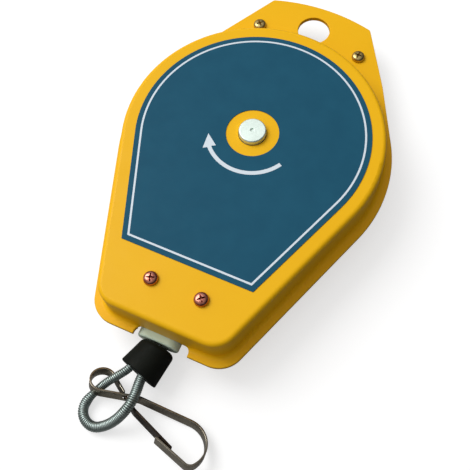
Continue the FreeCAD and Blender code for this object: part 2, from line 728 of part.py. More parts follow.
# ---------------------------------------------------------------- axle and bearings
AXLE_FRONT = "(%s + axle_stand_out)" % FACE
axle = new_body("axle")
s = new_sketch(axle, "axle_profile", None, "XZ_Plane")
steps(s, [("0 * sheet", "axle_recess"),
          ("axle_radius", "axle_recess"),
          ("axle_radius", CLIP_BACK),
          ("clip_groove", CLIP_BACK),
          ("clip_groove", "%s + clip_thickness" % CLIP_BACK),
          ("axle_radius", "%s + clip_thickness" % CLIP_BACK),
          ("axle_radius", AXLE_FRONT),
          ("0 * sheet", AXLE_FRONT)])
revolve(axle, s, "shaft")
rod = size("axle_radius")
chamfer(axle, lambda e: (level_edge(AXLE_FRONT)(e) or level_edge("axle_recess")(e))
        and abs(e.BoundBox.XLength - 2 * rod) < 1e-3, "axle_chamfer", "ends")
s = new_sketch(axle, "key_socket", "axle_recess")
hexagon(s, "key_across_flats")
cut(axle, s, "key_depth", "socket", True)
s = new_sketch(axle, "spring_slot", "%s + side_gap" % CHAMBER_BACK)
steps(s, [("0.2 * axle_radius", "-slot_width / 2"), ("2 * axle_radius", "-slot_width / 2"),
          ("2 * axle_radius", "slot_width / 2"), ("0.2 * axle_radius", "slot_width / 2")])
cut(axle, s, "spring_width", "slot", True)
s = new_sketch(axle, "centre_mark", AXLE_FRONT)
round_hole(s, "0.9 * sheet")
cut(axle, s, "0.7 * sheet", "centre_drill")

rear_bearing = new_body("rear_bearing")
s = new_sketch(rear_bearing, "bearing_profile", None, "XZ_Plane")
BORE = "axle_radius + running_gap"
steps(s, [(BORE, "dish_depth - bearing_rim"),
          ("bearing_flange", "dish_depth - bearing_rim"),
          ("bearing_flange", "dish_depth"),
          (BORE + " + bearing_wall", "dish_depth"),
          (BORE + " + bearing_wall", "%s + 0.5" % DISH_FLOOR),
          (BORE, "%s + 0.5" % DISH_FLOOR)])
revolve(rear_bearing, s, "bush")

front_bearing = new_body("front_bearing")
s = new_sketch(front_bearing, "bearing_profile", None, "XZ_Plane")
steps(s, [(BORE, BEARING_BACK), (BORE + " + bearing_wall", BEARING_BACK),
          (BORE + " + bearing_wall", "%s - bearing_rim" % CEILING),
          ("bearing_flange", "%s - bearing_rim" % CEILING),
          ("bearing_flange", CEILING), (BORE, CEILING)])
revolve(front_bearing, s, "bush")

clip = new_body("axle_clip")
s = new_sketch(clip, "clip_outline", CLIP_BACK)
inner, outer = size("clip_groove"), size("clip_outer")
gap = size("clip_half_opening")
a0 = arc(s, (0, 0), outer, gap, FULL_TURN - gap)
c, d = math.cos(math.radians(gap)), math.sin(math.radians(gap))
l0 = line(s, (outer * c, -outer * d), (inner * c, -inner * d))
a1 = arc(s, (0, 0), inner, gap, FULL_TURN - gap)
l1 = line(s, (inner * c, inner * d), (outer * c, outer * d))
pin(s, "Coincident", a0, 3, -1, 1)
pin(s, "Coincident", a1, 3, -1, 1)
pin(s, "Coincident", a0, 2, l0, 1)
pin(s, "Coincident", l0, 2, a1, 2)
pin(s, "Coincident", a1, 1, l1, 1)
pin(s, "Coincident", l1, 2, a0, 1)
measure(s, "outside", "clip_outer", "Radius", a0)
measure(s, "inside", "clip_groove", "Radius", a1)
pin(s, "Angle", l1, math.radians(gap))
pin(s, "Symmetric", a0, 1, a0, 2, -1)
pin(s, "Symmetric", a1, 1, a1, 2, -1)
pad(clip, s, "clip_thickness", "ring")


# ---------------------------------------------------------------- tension ratchet in the back
wheel = new_body("ratchet_wheel")
s = new_sketch(wheel, "tooth_outline", "wheel_recess")
count = int(round(size("wheel_teeth")))
tip_r, root_r = size("wheel_tip"), size("wheel_root")
teeth = []
for i in range(count):
    angle = 2 * math.pi * i / count
    teeth.append((root_r * math.cos(angle), root_r * math.sin(angle)))
    angle += 2 * math.pi / count
    teeth.append((tip_r * math.cos(angle), tip_r * math.sin(angle)))
ids = closed_loop(s, teeth)
tip_ring = s.addGeometry(Part.Circle(Vector(0, 0, 0), Vector(0, 0, 1), tip_r), True)
root_ring = s.addGeometry(Part.Circle(Vector(0, 0, 0), Vector(0, 0, 1), root_r), True)
for g in (tip_ring, root_ring):
    pin(s, "Coincident", g, 3, -1, 1)
measure(s, "tips", "wheel_tip", "Radius", tip_ring)
measure(s, "roots", "wheel_root", "Radius", root_ring)
for i, g in enumerate(ids):
    pin(s, "PointOnObject", g, 1, root_ring if i % 2 == 0 else tip_ring)
for i in range(2, len(ids), 2):
    pin(s, "Equal", ids[0], ids[i])
for g in ids[1::2]:
    pin(s, "PointOnObject", -1, 1, g)
pin(s, "PointOnObject", ids[0], 1, -1)
round_hole(s, "axle_radius", None, None, "bore")
pad(wheel, s, "wheel_thickness", "wheel")

pawl = new_body("pawl")
PAWL_PLAY = "side_gap"
s = new_sketch(pawl, "arm_outline", "wheel_recess")
px, py, boss = size("pawl_pivot_across"), size("pawl_reach"), size("pawl_boss")
play = size(PAWL_PLAY)
heel = 2 * math.pi / count
toe_out = tip_r + size("pawl_toe")
arm = [(root_r + size("pawl_nose_gap"), play),
       (toe_out, play),
       (px + boss * 0.97, py - boss * 0.25),
       (px - boss * 0.75, py - boss * 0.66),
       (tip_r + size("pawl_heel_gap"), tip_r * math.sin(heel) + size("pawl_heel_rise"))]
ids = closed_loop(s, arm)
measure(s, "nose_x", "wheel_root + pawl_nose_gap", "DistanceX", -1, 1, ids[0], 1)
measure(s, "nose_y", "side_gap", "DistanceY", -1, 1, ids[0], 1)
measure(s, "toe_x", "wheel_tip + pawl_toe", "DistanceX", -1, 1, ids[1], 1)
measure(s, "toe_y", "side_gap", "DistanceY", -1, 1, ids[1], 1)
measure(s, "back_x", "pawl_pivot_across + pawl_boss * 0.97", "DistanceX", -1, 1, ids[2], 1)
measure(s, "back_y", "pawl_reach - pawl_boss * 0.25", "DistanceY", -1, 1, ids[2], 1)
measure(s, "belly_x", "pawl_pivot_across - pawl_boss * 0.75", "DistanceX", -1, 1, ids[3], 1)
measure(s, "belly_y", "pawl_reach - pawl_boss * 0.66", "DistanceY", -1, 1, ids[3], 1)
measure(s, "heel_x", "wheel_tip + pawl_heel_gap", "DistanceX", -1, 1, ids[4], 1)
measure(s, "heel_y", "wheel_tip * sin(360 / wheel_teeth * 1 deg) + pawl_heel_rise",
        "DistanceY", -1, 1, ids[4], 1)
pad(pawl, s, "wheel_thickness", "arm")
s = new_sketch(pawl, "boss_outline", "wheel_recess")
round_hole(s, "pawl_boss", "pawl_pivot_across", "pawl_reach")
pad(pawl, s, "dish_depth - wheel_recess - side_gap / 3", "boss")
s = new_sketch(pawl, "pivot_bore", DISH_FLOOR)
round_hole(s, "pivot_radius + running_gap", "pawl_pivot_across", "pawl_reach")
cut(pawl, s, None, "bore")

rivet = new_body("rivet_form")
s = new_sketch(rivet, "rivet_profile", None, "XZ_Plane")
steps(s, [("0 * sheet", "wheel_recess - 0.7"),
          ("rivet_head", "wheel_recess - 0.7"),
          ("rivet_head", "wheel_recess - 0.1"),
          ("pivot_radius", "wheel_recess - 0.1"),
          ("pivot_radius", DISH_FLOOR),
          ("0 * sheet", DISH_FLOOR)])
revolve(rivet, s, "rivet")
pawl_rivets = place_pair("pawl_rivets", rivet, ("pawl_pivot_across", "pawl_reach"),
                         ("leaf_post_across", "-leaf_post_drop"))

leaf = new_body("pawl_spring")
s = new_sketch(leaf, "leaf_outline", "wheel_recess + leaf_lift")
qx, qy = size("leaf_post_across"), -size("leaf_post_drop")
thick = size("leaf_thickness")
touch_x, touch_y = toe_out + size("leaf_stand"), size("leaf_touch_height")
eye = size("pivot_radius + running_gap")
ux, uy = touch_x - qx, touch_y - qy
reach = math.hypot(ux, uy)
ux, uy = ux / reach, uy / reach
nx, ny = uy, -ux
e0 = eye + thick
start = (qx + ux * e0 * 0.8 + nx * thick / 2, qy + uy * e0 * 0.8 + ny * thick / 2)
blade = [start, (touch_x + nx * thick / 2, touch_y + ny * thick / 2),
         (touch_x - nx * thick / 2, touch_y - ny * thick / 2),
         (start[0] - nx * thick, start[1] - ny * thick)]
ids = closed_loop(s, blade)
for i, g in enumerate(ids):
    pin(s, "DistanceX", -1, 1, g, 1, blade[i][0])
    pin(s, "DistanceY", -1, 1, g, 1, blade[i][1])
pad(leaf, s, "leaf_width", "blade")
s = new_sketch(leaf, "eye_outline", "wheel_recess + leaf_lift")
round_hole(s, "pivot_radius + running_gap + 1.5 * leaf_thickness", "leaf_post_across",
           "-leaf_post_drop")
pad(leaf, s, "leaf_width", "eye")
s = new_sketch(leaf, "eye_bore", DISH_FLOOR)
round_hole(s, "pivot_radius + running_gap", "leaf_post_across", "-leaf_post_drop")
cut(leaf, s, None, "bore")


# ---------------------------------------------------------------- drum, lid, spring, wound rope
drum = new_body("drum")
s = new_sketch(drum, "drum_profile", None, "XZ_Plane")
HUB_BORE = "axle_radius + running_gap"
steps(s, [(HUB_BORE, DRUM_BACK),
          ("drum_rim", DRUM_BACK),
          ("drum_rim", BAND_BACK),
          (CUP_OUTER, BAND_BACK),
          (CUP_OUTER, BAND_FRONT),
          ("drum_rim", BAND_FRONT),
          ("drum_rim", "%s + rim_thickness" % BAND_FRONT),
          (CUP_OUTER, "%s + rim_thickness" % BAND_FRONT),
          (CUP_OUTER, CHAMBER_FRONT),
          (CUP_INNER, CHAMBER_FRONT),
          (CUP_INNER, CHAMBER_BACK),
          ("hub_radius", CHAMBER_BACK),
          ("hub_radius", "%s + side_gap / 2" % CHAMBER_BACK),
          (HUB_BORE, "%s + side_gap / 2" % CHAMBER_BACK)])
revolve(drum, s, "drum_turned")

lid = new_body("drum_lid")
s = new_sketch(lid, "lid_profile", None, "XZ_Plane")
steps(s, [(HUB_BORE, "%s - side_gap / 2" % CHAMBER_FRONT),
          ("hub_radius", "%s - side_gap / 2" % CHAMBER_FRONT),
          ("hub_radius", CHAMBER_FRONT),
          (CUP_OUTER, CHAMBER_FRONT),
          (CUP_OUTER, LID_FRONT),
          (HUB_BORE, LID_FRONT)])
revolve(lid, s, "lid_turned")

wrap = new_body("wound_rope")
s = new_sketch(wrap, "wrap_profile", None, "XZ_Plane")
rr, pitch = size("rope_radius"), size("wrap_pitch")
turns = int(round(size("wrap_turns")))
inside, centre = size("wrap_radius - rope_radius"), size("wrap_radius")
base = size(BAND_BACK) + pitch / 2
low, high = base - rr, base + pitch * (turns - 1) + rr
chain = [line(s, (inside, high), (inside, low)), line(s, (inside, low), (centre, low))]
for i in range(turns):
    z = base + pitch * i
    chain.append(arc(s, (centre, z), rr, -90, 90))
    if i < turns - 1:
        chain.append(line(s, (centre, z + rr), (centre, z + pitch - rr)))
chain.append(line(s, (centre, high), (inside, high)))
for a, b in zip(chain, chain[1:] + chain[:1]):
    pin(s, "Coincident", a, 2, b, 1)
pin(s, "Vertical", chain[0])
pin(s, "Horizontal", chain[1])
pin(s, "Horizontal", chain[-1])
measure(s, "inside", "wrap_radius - rope_radius", "DistanceX", -1, 1, chain[0], 1)
for i in range(turns):
    g = chain[2 + 2 * i]
    measure(s, "bend%d" % i, "rope_radius", "Radius", g)
    measure(s, "out%d" % i, "wrap_radius", "DistanceX", -1, 1, g, 3)
    measure(s, "up%d" % i, "%s + wrap_pitch * %s" % (BAND_BACK, i + 0.5), "DistanceY", -1, 1, g, 3)
    if i:
        pin(s, "Vertical", chain[1 + 2 * i])
revolve(wrap, s, "turns")

# flat spiral spring: half turns about two centres, with a tail into the axle's slot
coils = int(round(size("spring_turns")))
strip = size("spring_thickness")
first_radius = size("axle_radius") + 1.0
last_radius = size(CUP_INNER) - 0.4 - strip / 2
growth = (last_radius - first_radius) / (2.0 * coils)
spring_back = size(CHAMBER_BACK) + size("side_gap")
rivet_drop = 3.0
rivet_level = spring_back + size("spring_width") * 0.75


def spiral_side(offset):
    """One face of the strip as half circles, each a little larger than the last."""
    edges = []
    for half in range(2 * coils):
        centre = Vector(0 if half % 2 == 0 else growth, 0, 0)
        circle = Part.Circle(centre, Vector(0, 0, 1), first_radius + growth * half + offset)
        start = 0 if half % 2 == 0 else math.pi
        edges.append(Part.ArcOfCircle(circle, start, start + math.pi).toShape())
    return edges


outer_side, inner_side = spiral_side(strip / 2), spiral_side(-strip / 2)
caps = [Part.makeLine(outer_side[0].firstVertex().Point, inner_side[0].firstVertex().Point),
        Part.makeLine(outer_side[-1].lastVertex().Point, inner_side[-1].lastVertex().Point)]
strip_face = Part.Face(Part.Wire(Part.__sortEdges__(outer_side + inner_side + caps)))
strip_face.translate(Vector(0, 0, spring_back))
coil_solid = strip_face.extrude(Vector(0, 0, size("spring_width")))
tail = Part.makeBox(first_radius - 0.4 * rod, strip, size("spring_width"),
                    Vector(0.4 * rod, -strip / 2, spring_back))
rivet_hole = Part.makeCylinder(size("screw_shank"), 3 * strip + 1,
                               Vector(last_radius - 3 * strip, -rivet_drop, rivet_level),
                               Vector(1, 0, 0))
spiral = doc.addObject("Part::Feature", "spiral_spring")
spiral.Label = "spiral_spring"
spiral.Shape = coil_solid.fuse(tail).removeSplitter().cut(rivet_hole)

s = new_sketch(drum, "rivet_hole", CUP_INNER + " - sheet", "YZ_Plane")
g = s.addGeometry(Part.Circle(Vector(-rivet_drop, rivet_level, 0), Vector(0, 0, 1), 1.5), False)
measure(s, "rivet_radius", "screw_shank", "Radius", g)
pin(s, "DistanceX", -1, 1, g, 3, -rivet_drop)
pin(s, "DistanceY", -1, 1, g, 3, rivet_level)
cut(drum, s, "drum_wall + 3 * sheet", "rivet_bore", True)

spring_rivet = new_body("spring_rivet")
s = new_sketch(spring_rivet, "shank", CUP_INNER + " - 2.5 * sheet", "YZ_Plane")
g = s.addGeometry(Part.Circle(Vector(-rivet_drop, rivet_level, 0), Vector(0, 0, 1), 1.5), False)
measure(s, "rivet_radius", "screw_shank", "Radius", g)
pin(s, "DistanceX", -1, 1, g, 3, -rivet_drop)
pin(s, "DistanceY", -1, 1, g, 3, rivet_level)
pad(spring_rivet, s, "drum_wall + 2.5 * sheet", "shank_pad")
for name, level in (("tail", CUP_INNER + " - 2.5 * sheet"), ("head", CUP_OUTER)):
    s = new_sketch(spring_rivet, name, level, "YZ_Plane")
    g = s.addGeometry(Part.Circle(Vector(-rivet_drop, rivet_level, 0), Vector(0, 0, 1), 2.6), False)
    measure(s, "head_radius", "rivet_head", "Radius", g)
    pin(s, "DistanceX", -1, 1, g, 3, -rivet_drop)
    pin(s, "DistanceY", -1, 1, g, 3, rivet_level)
    pad(spring_rivet, s, "0.6 * sheet", name + "_pad")


# ---------------------------------------------------------------- rope guide
guide = new_body("rope_guide")
s = new_sketch(guide, "collar", "rear_foot", "XZ_Plane")
stadium(s, "guide_half_width", "guide_half_depth", "guide_centre", "rope_level")
pad(guide, s, "guide_foot - rear_foot", "collar_pad")
outer_rim = -size("guide_foot")
fillet(guide, lambda e: abs(e.BoundBox.YMin - outer_rim) < 1e-4 and abs(e.BoundBox.YMax - outer_rim) < 1e-4,
       "guide_lip", "collar_rounding")
s = new_sketch(guide, "neck", "rear_foot - sheet", "XZ_Plane")
stadium(s, "neck_half_width", "neck_half_depth", "guide_centre", "rope_level")
pad(guide, s, "sheet + 0.01", "neck_pad")
s = new_sketch(guide, "inner_lip", "rear_foot - 2.2 * sheet", "XZ_Plane")
stadium(s, "neck_half_width + guide_lip", "neck_half_depth + guide_lip", "guide_centre", "rope_level")
pad(guide, s, "1.2 * sheet", "lip_pad")
s = new_sketch(guide, "barrel", "rear_foot - 2.2 * sheet - guide_barrel", "XZ_Plane")
round_hole(s, "neck_half_depth", "rope_line", "rope_level")
pad(guide, s, "guide_barrel + 0.1", "barrel_pad")
s = new_sketch(guide, "rope_bore", "rear_foot - 4 * sheet - guide_barrel", "XZ_Plane")
round_hole(s, "guide_bore", "rope_line", "rope_level")
cut(guide, s, "guide_foot - rear_foot + 6 * sheet + guide_barrel", "bore", True)
inner_face = -(size("rear_foot") - 2.2 * size("sheet") - size("guide_barrel"))
bore_d = 2 * size("guide_bore")


def mouth_edge(y):
    return lambda e: (abs(e.BoundBox.YMin - y) < 1e-4 and abs(e.BoundBox.YMax - y) < 1e-4
                      and abs(e.BoundBox.XLength - bore_d) < 1e-3)


fillet(guide, mouth_edge(inner_face), "guide_mouth", "inner_mouth")
fillet(guide, mouth_edge(outer_rim), "guide_mouth * 0.6", "outer_mouth")


# ---------------------------------------------------------------- rope and loop
def rounded_route(name, points, share=0.45):
    """Straight runs joined by tangent arcs; prints each arc's radius."""
    points = [Vector(*p) for p in points]
    starts, edges, radii = [points[0]], [], []
    for before, here, after in zip(points, points[1:], points[2:]):
        a, b = before - here, after - here
        run = min(a.Length, b.Length)
        turn = math.pi - a.getAngle(b)
        back = share * run
        radii.append(back / math.tan(turn / 2))
        first = here + a.normalize() * back
        last = here + b.normalize() * back
        middle_way = (a + b).normalize()
        middle = here + middle_way * (radii[-1] / math.cos(turn / 2) - radii[-1])
        edges.append(Part.LineSegment(starts[-1], first).toShape())
        edges.append(Part.Arc(first, middle, last).toShape())
        starts.append(last)
    edges.append(Part.LineSegment(starts[-1], points[-1]).toShape())
    print(name, "radii", [round(r, 1) for r in radii])
    return edges


def tube(route, radius):
    """Round solid along a route."""
    start = route.Edges[0].valueAt(route.Edges[0].FirstParameter)
    along = route.Edges[0].tangentAt(route.Edges[0].FirstParameter)
    ring = Part.Wire([Part.Circle(start, along, radius).toShape()])
    solid = route.makePipeShell([ring], True, False)
    filled = math.pi * radius ** 2 * route.Length
    print("tube volume over section times length", round(solid.Volume / filled, 4))
    return solid


def shape_node(name, shape):
    node = doc.addObject("Part::Feature", name)
    node.Label = name
    node.Shape = shape
    return node


rope_r, wrap_r, level = size("rope_radius"), size("wrap_radius"), size("rope_level")
exit_x, inlet = size("rope_line"), Vector(size("rope_line"), inner_face + 1.0, level)
span = math.hypot(inlet.x, inlet.y)
lift_off = math.atan2(inlet.y, inlet.x) - math.acos(wrap_r / span)
lift_off_point = Vector(wrap_r * math.cos(lift_off), wrap_r * math.sin(lift_off), level)
free = (inlet - lift_off_point).normalize()
clear = math.sqrt(2 * wrap_r * (2 * rope_r + size("side_gap")))
lead_start = lift_off_point + free * (clear + 0.6)
guide_end = -size("guide_foot")
lead_route = rounded_route("rope_lead", [lead_start, inlet, (exit_x, guide_end, level)], 0.3)
rope_lead = shape_node("rope_lead", tube(Part.Wire(lead_route), rope_r))

hanger_points = [
    (-5.9, -102.6, 10.5), (-7.1, -106.9, 10.6), (-10.5, -110.6, 9.3), (-14.1, -113.4, 9.0),
    (-16.6, -118.4, 3.5), (-18.6, -122.6, 3.6), (-19.5, -126.2, 2.7), (-18.7, -129.4, 2.3),
    (-16.0, -132.0, 2.3), (-11.7, -132.9, 2.6), (-7.3, -130.5, 4.2), (-3.5, -126.9, 7.6),
    (-1.1, -122.8, 10.9), (0.0, -118.9, 11.9), (-0.2, -114.5, 11.6), (-1.3, -108.1, 10.9),
    (-0.9, -103.9, 10.6)]
hanger_route = rounded_route("hanger_cable", hanger_points)
hanger_cable = shape_node("hanger_cable", tube(Part.Wire(hanger_route), size("cable_radius")))
sleeved = Part.Wire(hanger_route[10:-1])
sleeve_blank = shape_node("sleeve_blank", tube(sleeved, size("sleeve_radius")))
sleeve_bore = size("cable_radius") + size("running_gap")
loop_sleeve = shape_node("loop_sleeve", sleeve_blank.Shape.cut(tube(sleeved, sleeve_bore)))


# ---------------------------------------------------------------- stopper on the rope
top_lean, foot_lean = math.radians(size("stopper_top_lean")), math.radians(size("stopper_foot_lean"))
stopper_level = size("stopper_level")
top_centre = Vector(exit_x, -(size("guide_foot") + size("stopper_gap")), stopper_level)
foot_centre = top_centre + Vector(-size("stopper_sway"), -size("stopper_length"), 0)


def tilted_ring(name, centre, lean, radius):
    """Circle that faces -Y, turned by the lean towards -X."""
    ring = doc.addObject("Part::Circle", name)
    ring.setExpression("Radius", cell(radius))
    facing = Vector(-math.sin(lean), -math.cos(lean), 0)
    ring.Placement = Placement(centre, Rotation(Vector(0, 0, 1), facing))
    return ring


stopper_blank = doc.addObject("Part::Loft", "stopper_blank")
stopper_blank.Sections = [tilted_ring("stopper_top_ring", top_centre, top_lean, "stopper_top"),
                          tilted_ring("stopper_foot_ring", foot_centre, foot_lean, "stopper_bottom")]
stopper_blank.Solid = True
stopper_blank.Ruled = True
doc.recompute()
top_y = top_centre.y
rounded_blank = doc.addObject("Part::Fillet", "stopper_rounded")
rounded_blank.Base = stopper_blank
top_edges, foot_edges = [], []
for i, e in enumerate(stopper_blank.Shape.Edges, start=1):
    if e.BoundBox.YLength < 0.5 * size("stopper_length") and e.isClosed():
        (top_edges if abs(e.CenterOfMass.y - top_y) < 1 else foot_edges).append(i)
rounded_blank.Edges = ([(i, size("stopper_round"), size("stopper_round")) for i in top_edges]
                       + [(i, size("stopper_foot_round"), size("stopper_foot_round"))
                          for i in foot_edges])

ferrule_top = top_centre + Vector(0, -size("ferrule_recess"), 0)
ferrule_foot_y = foot_centre.y + size("ferrule_cover")
ferrule_blank = doc.addObject("Part::Cylinder", "ferrule_blank")
ferrule_blank.setExpression("Radius", cell("ferrule_radius"))
ferrule_blank.Height = ferrule_top.y - ferrule_foot_y
mid_x = (hanger_points[0][0] + hanger_points[-1][0]) / 2
ferrule_blank.Placement = Placement(Vector(mid_x, ferrule_top.y, stopper_level),
                                    Rotation(Vector(0, 0, 1), Vector(0, -1, 0)))

payout = rounded_route("rope_payout", [
    (exit_x, guide_end, level), (exit_x, guide_end - 2.2, level),
    (exit_x - 0.5, ferrule_top.y - 1.0, stopper_level + 0.4)])
rope_payout = shape_node("rope_payout", tube(Part.Wire(payout), rope_r))

leg_cut = doc.addObject("Part::Cut", "ferrule_with_legs")
leg_cut.Base = ferrule_blank
leg_cut.Tool = hanger_cable
rope_ferrule = doc.addObject("Part::Cut", "rope_ferrule")
rope_ferrule.Label = "rope_ferrule"
rope_ferrule.Base = leg_cut
rope_ferrule.Tool = rope_payout

core = doc.addObject("Part::MultiFuse", "stopper_core")
core.Shapes = [ferrule_blank, hanger_cable, sleeve_blank, rope_payout]
rubber_stopper = doc.addObject("Part::Cut", "rubber_stopper")
rubber_stopper.Label = "rubber_stopper"
rubber_stopper.Base = rounded_blank
rubber_stopper.Tool = core
doc.recompute()


# ---------------------------------------------------------------- snap hook of folded strip
HOOK_ORIGIN = Vector(size("hook_across"), -size("hook_drop"), size("hook_height"))
heading = math.radians(size("hook_heading"))
hook_along = Vector(math.cos(heading), math.sin(heading), 0)
level_side = Vector(0, 0, 1).cross(hook_along)
lean = math.radians(size("hook_tilt"))
hook_normal = Vector(0, 0, 1) * math.cos(lean) + level_side * math.sin(lean)
hook_side = hook_normal.cross(hook_along)
hook_frame = Placement(FreeCAD.Matrix(
    hook_along.x, hook_side.x, hook_normal.x, HOOK_ORIGIN.x,
    hook_along.y, hook_side.y, hook_normal.y, HOOK_ORIGIN.y,
    hook_along.z, hook_side.z, hook_normal.z, HOOK_ORIGIN.z, 0, 0, 0, 1))


def polar(angle, length=1.0):
    return Vector(math.cos(angle), math.sin(angle), 0) * length


def ribbon(sketch, elements, thickness):
    """Closed outline of a strip: its centre line's runs and arcs moved half a thickness each way.

    The first and last elements are runs, and square caps close them.
    """
    sides = {1: [], -1: []}
    for kind, *data in elements:
        for side, ids in sides.items():
            if kind == "run":
                a, b = data
                shift = (b - a).normalize().cross(Vector(0, 0, 1)) * (side * thickness / 2)
                ids.append(line(sketch, a + shift, b + shift))
            else:
                centre, radius, first, last = data
                outward = side * thickness / 2 * (1 if last > first else -1)
                low, high = sorted((math.degrees(first), math.degrees(last)))
                ids.append(arc(sketch, centre, radius + outward, low, high))
    for ids in sides.values():
        for here, there in zip(ids, ids[1:]):
            _, i, j = min(((sketch.getPoint(here, i) - sketch.getPoint(there, j)).Length, i, j)
                          for i in (1, 2) for j in (1, 2))
            pin(sketch, "Coincident", here, i, there, j)
    for place, vertex in ((0, 1), (-1, 2)):
        one, other = sides[1][place], sides[-1][place]
        cap = line(sketch, sketch.getPoint(one, vertex), sketch.getPoint(other, vertex))
        pin(sketch, "Coincident", one, vertex, cap, 1)
        pin(sketch, "Coincident", other, vertex, cap, 2)


def line_meets(p, along_p, q, along_q):
    """Crossing of two lines in the hook's plane."""
    det = along_p.x * along_q.y - along_p.y * along_q.x
    d = q - p
    return p + along_p * ((d.x * along_q.y - d.y * along_q.x) / det)


thickness, width = size("strip_thickness"), size("strip_width")
bow_r, toe_r, eye_r = size("hook_bow"), size("hook_toe"), size("hook_eye")
arm_angle = math.radians(size("hook_arm_angle"))
toe_angle = math.radians(size("hook_toe_angle"))
catch_angle = math.radians(size("hook_catch_angle"))
bow_centre = Vector(size("hook_bow_centre"), -size("hook_bow_sink"), 0)
toe_centre = bow_centre + polar(-toe_angle, bow_r - toe_r)
arm_direction = polar(arm_angle)
arm_start = bow_centre + polar(arm_angle + math.pi / 2, bow_r)
eye_centre = Vector(-size("hook_eye_back"), size("hook_eye_rise"), 0)
shoulder = arm_start - arm_direction * ((arm_start.x - size("hook_neck")) / arm_direction.x)


def tangent_from(point, centre, radius, side):
    """Touching point on a circle of the line from a point; side +1 above, -1 below."""
    d = point - centre
    open_angle = math.acos(radius / d.Length)
    return centre + polar(math.atan2(d.y, d.x) + side * open_angle, radius)


gate_bend = Vector(size("gate_bend"), -size("gate_bend_sink"), 0)
under = tangent_from(shoulder, eye_centre, eye_r, -1)
over = tangent_from(gate_bend, eye_centre, eye_r, 1)
under_way, over_way = (shoulder - under).normalize(), (gate_bend - over).normalize()
crossing = line_meets(under, under_way, over, over_way)

# rounding between the neck's strand and the arm
fold_r = size("hook_fold")
bend = arm_direction.getAngle(under_way)
back = fold_r * math.tan(bend / 2)
fold_first, fold_last = shoulder + arm_direction * back, shoulder - under_way * back
fold_centre = fold_first + Vector(arm_direction.y, -arm_direction.x, 0) * fold_r

hinge_point = crossing - over_way * size("hinge_back")
catch_point = toe_centre + polar(-math.pi / 2 - catch_angle, toe_r)
catch_tip = catch_point + polar(math.pi - catch_angle, size("catch_length"))
strip_path = [
    ("run", catch_tip, catch_point),
    ("arc", toe_centre, toe_r, -math.pi / 2 - catch_angle, -toe_angle),
    ("arc", bow_centre, bow_r, -toe_angle, math.pi / 2 + arm_angle),
    ("run", arm_start, fold_first),
    ("arc", fold_centre, fold_r, math.pi / 2 + arm_angle,
     math.pi / 2 + math.atan2(under_way.y, under_way.x)),
    ("run", fold_last, under),
    ("arc", eye_centre, eye_r, math.atan2(under.y - eye_centre.y, under.x - eye_centre.x),
     math.atan2(over.y - eye_centre.y, over.x - eye_centre.x) - 2 * math.pi),
    ("run", over, hinge_point - over_way * 0.5 * size("side_gap")),
]
snap_hook = new_body("snap_hook")
s = new_sketch(snap_hook, "strip_outline", "-strip_width / 2")
ribbon(s, strip_path, thickness)
pad(snap_hook, s, "strip_width", "strip")
s = new_sketch(snap_hook, "gate_slot", "-(gate_neck_width / 2 + side_gap)")
away = Vector(-under_way.y, under_way.x, 0)
slot_low = crossing - under_way * size("slot_before")
slot_high = crossing + under_way * size("slot_after")
closed_loop(s, [slot_low - away * 2 * thickness, slot_high - away * 2 * thickness,
                slot_high + away * 0.9 * thickness, slot_low + away * 0.9 * thickness])
cut(snap_hook, s, "gate_neck_width + 2 * side_gap", "slot", True)
snap_hook.Placement = hook_frame

gate_tip_x = size("gate_reach")
gate_tip = Vector(gate_tip_x, catch_point.y + (catch_point.x - gate_tip_x) * math.tan(catch_angle)
                  + thickness + size("side_gap"), 0)
gate_way = (gate_tip - gate_bend).normalize()
gate_turn_r = size("gate_bend_radius")
turn = over_way.getAngle(gate_way)
back = gate_turn_r * math.tan(turn / 2)
turn_first, turn_last = gate_bend - over_way * back, gate_bend + gate_way * back
turn_centre = turn_first + Vector(-over_way.y, over_way.x, 0) * gate_turn_r
neck_first = hinge_point + over_way * 0.5 * size("side_gap")
neck_last = hinge_point + over_way * size("gate_neck")
hook_gate = new_body("hook_gate")
s = new_sketch(hook_gate, "neck_outline", "-gate_neck_width / 2")
ribbon(s, [("run", neck_first, neck_last + over_way * size("gate_overlap"))], thickness)
pad(hook_gate, s, "gate_neck_width", "neck")
s = new_sketch(hook_gate, "blade_outline", "-strip_width / 2")
over_heading, gate_heading = math.atan2(over_way.y, over_way.x), math.atan2(gate_way.y, gate_way.x)
ribbon(s, [("run", neck_last, turn_first),
           ("arc", turn_centre, gate_turn_r, over_heading - math.pi / 2, gate_heading - math.pi / 2),
           ("run", turn_last, gate_tip)], thickness)
pad(hook_gate, s, "strip_width", "blade")
hook_gate.Placement = hook_frame
doc.recompute()
hinge_world = hook_frame.multVec(hinge_point)
print("gate hinge", [round(c, 3) for c in hinge_world], "axis", [round(c, 4) for c in hook_normal])


# ---------------------------------------------------------------- write the sub-parts
NODES = {
    "front_cover": front, "rear_cover": rear, "face_label": label,
    "tab_screws": tab_screws, "tab_nuts": tab_nuts, "foot_screws": foot_screws,
    "spacer_posts": spacer_posts, "rope_guide": guide,
    "axle": axle, "front_bearing": front_bearing, "rear_bearing": rear_bearing,
    "axle_clip": clip, "ratchet_wheel": wheel, "pawl": pawl, "pawl_rivets": pawl_rivets,
    "pawl_spring": leaf, "drum": drum, "drum_lid": lid, "spiral_spring": spiral,
    "spring_rivet": spring_rivet, "wound_rope": wrap, "rope_lead": rope_lead,
    "rope_payout": rope_payout, "rubber_stopper": rubber_stopper, "rope_ferrule": rope_ferrule,
    "hanger_cable": hanger_cable, "loop_sleeve": loop_sleeve, "snap_hook": snap_hook, "hook_gate": hook_gate,
}
failed = [item.Label for item in doc.Objects if {"Invalid", "Error"} & set(item.State)]
if failed:
    raise RuntimeError("failed: %s" % failed)
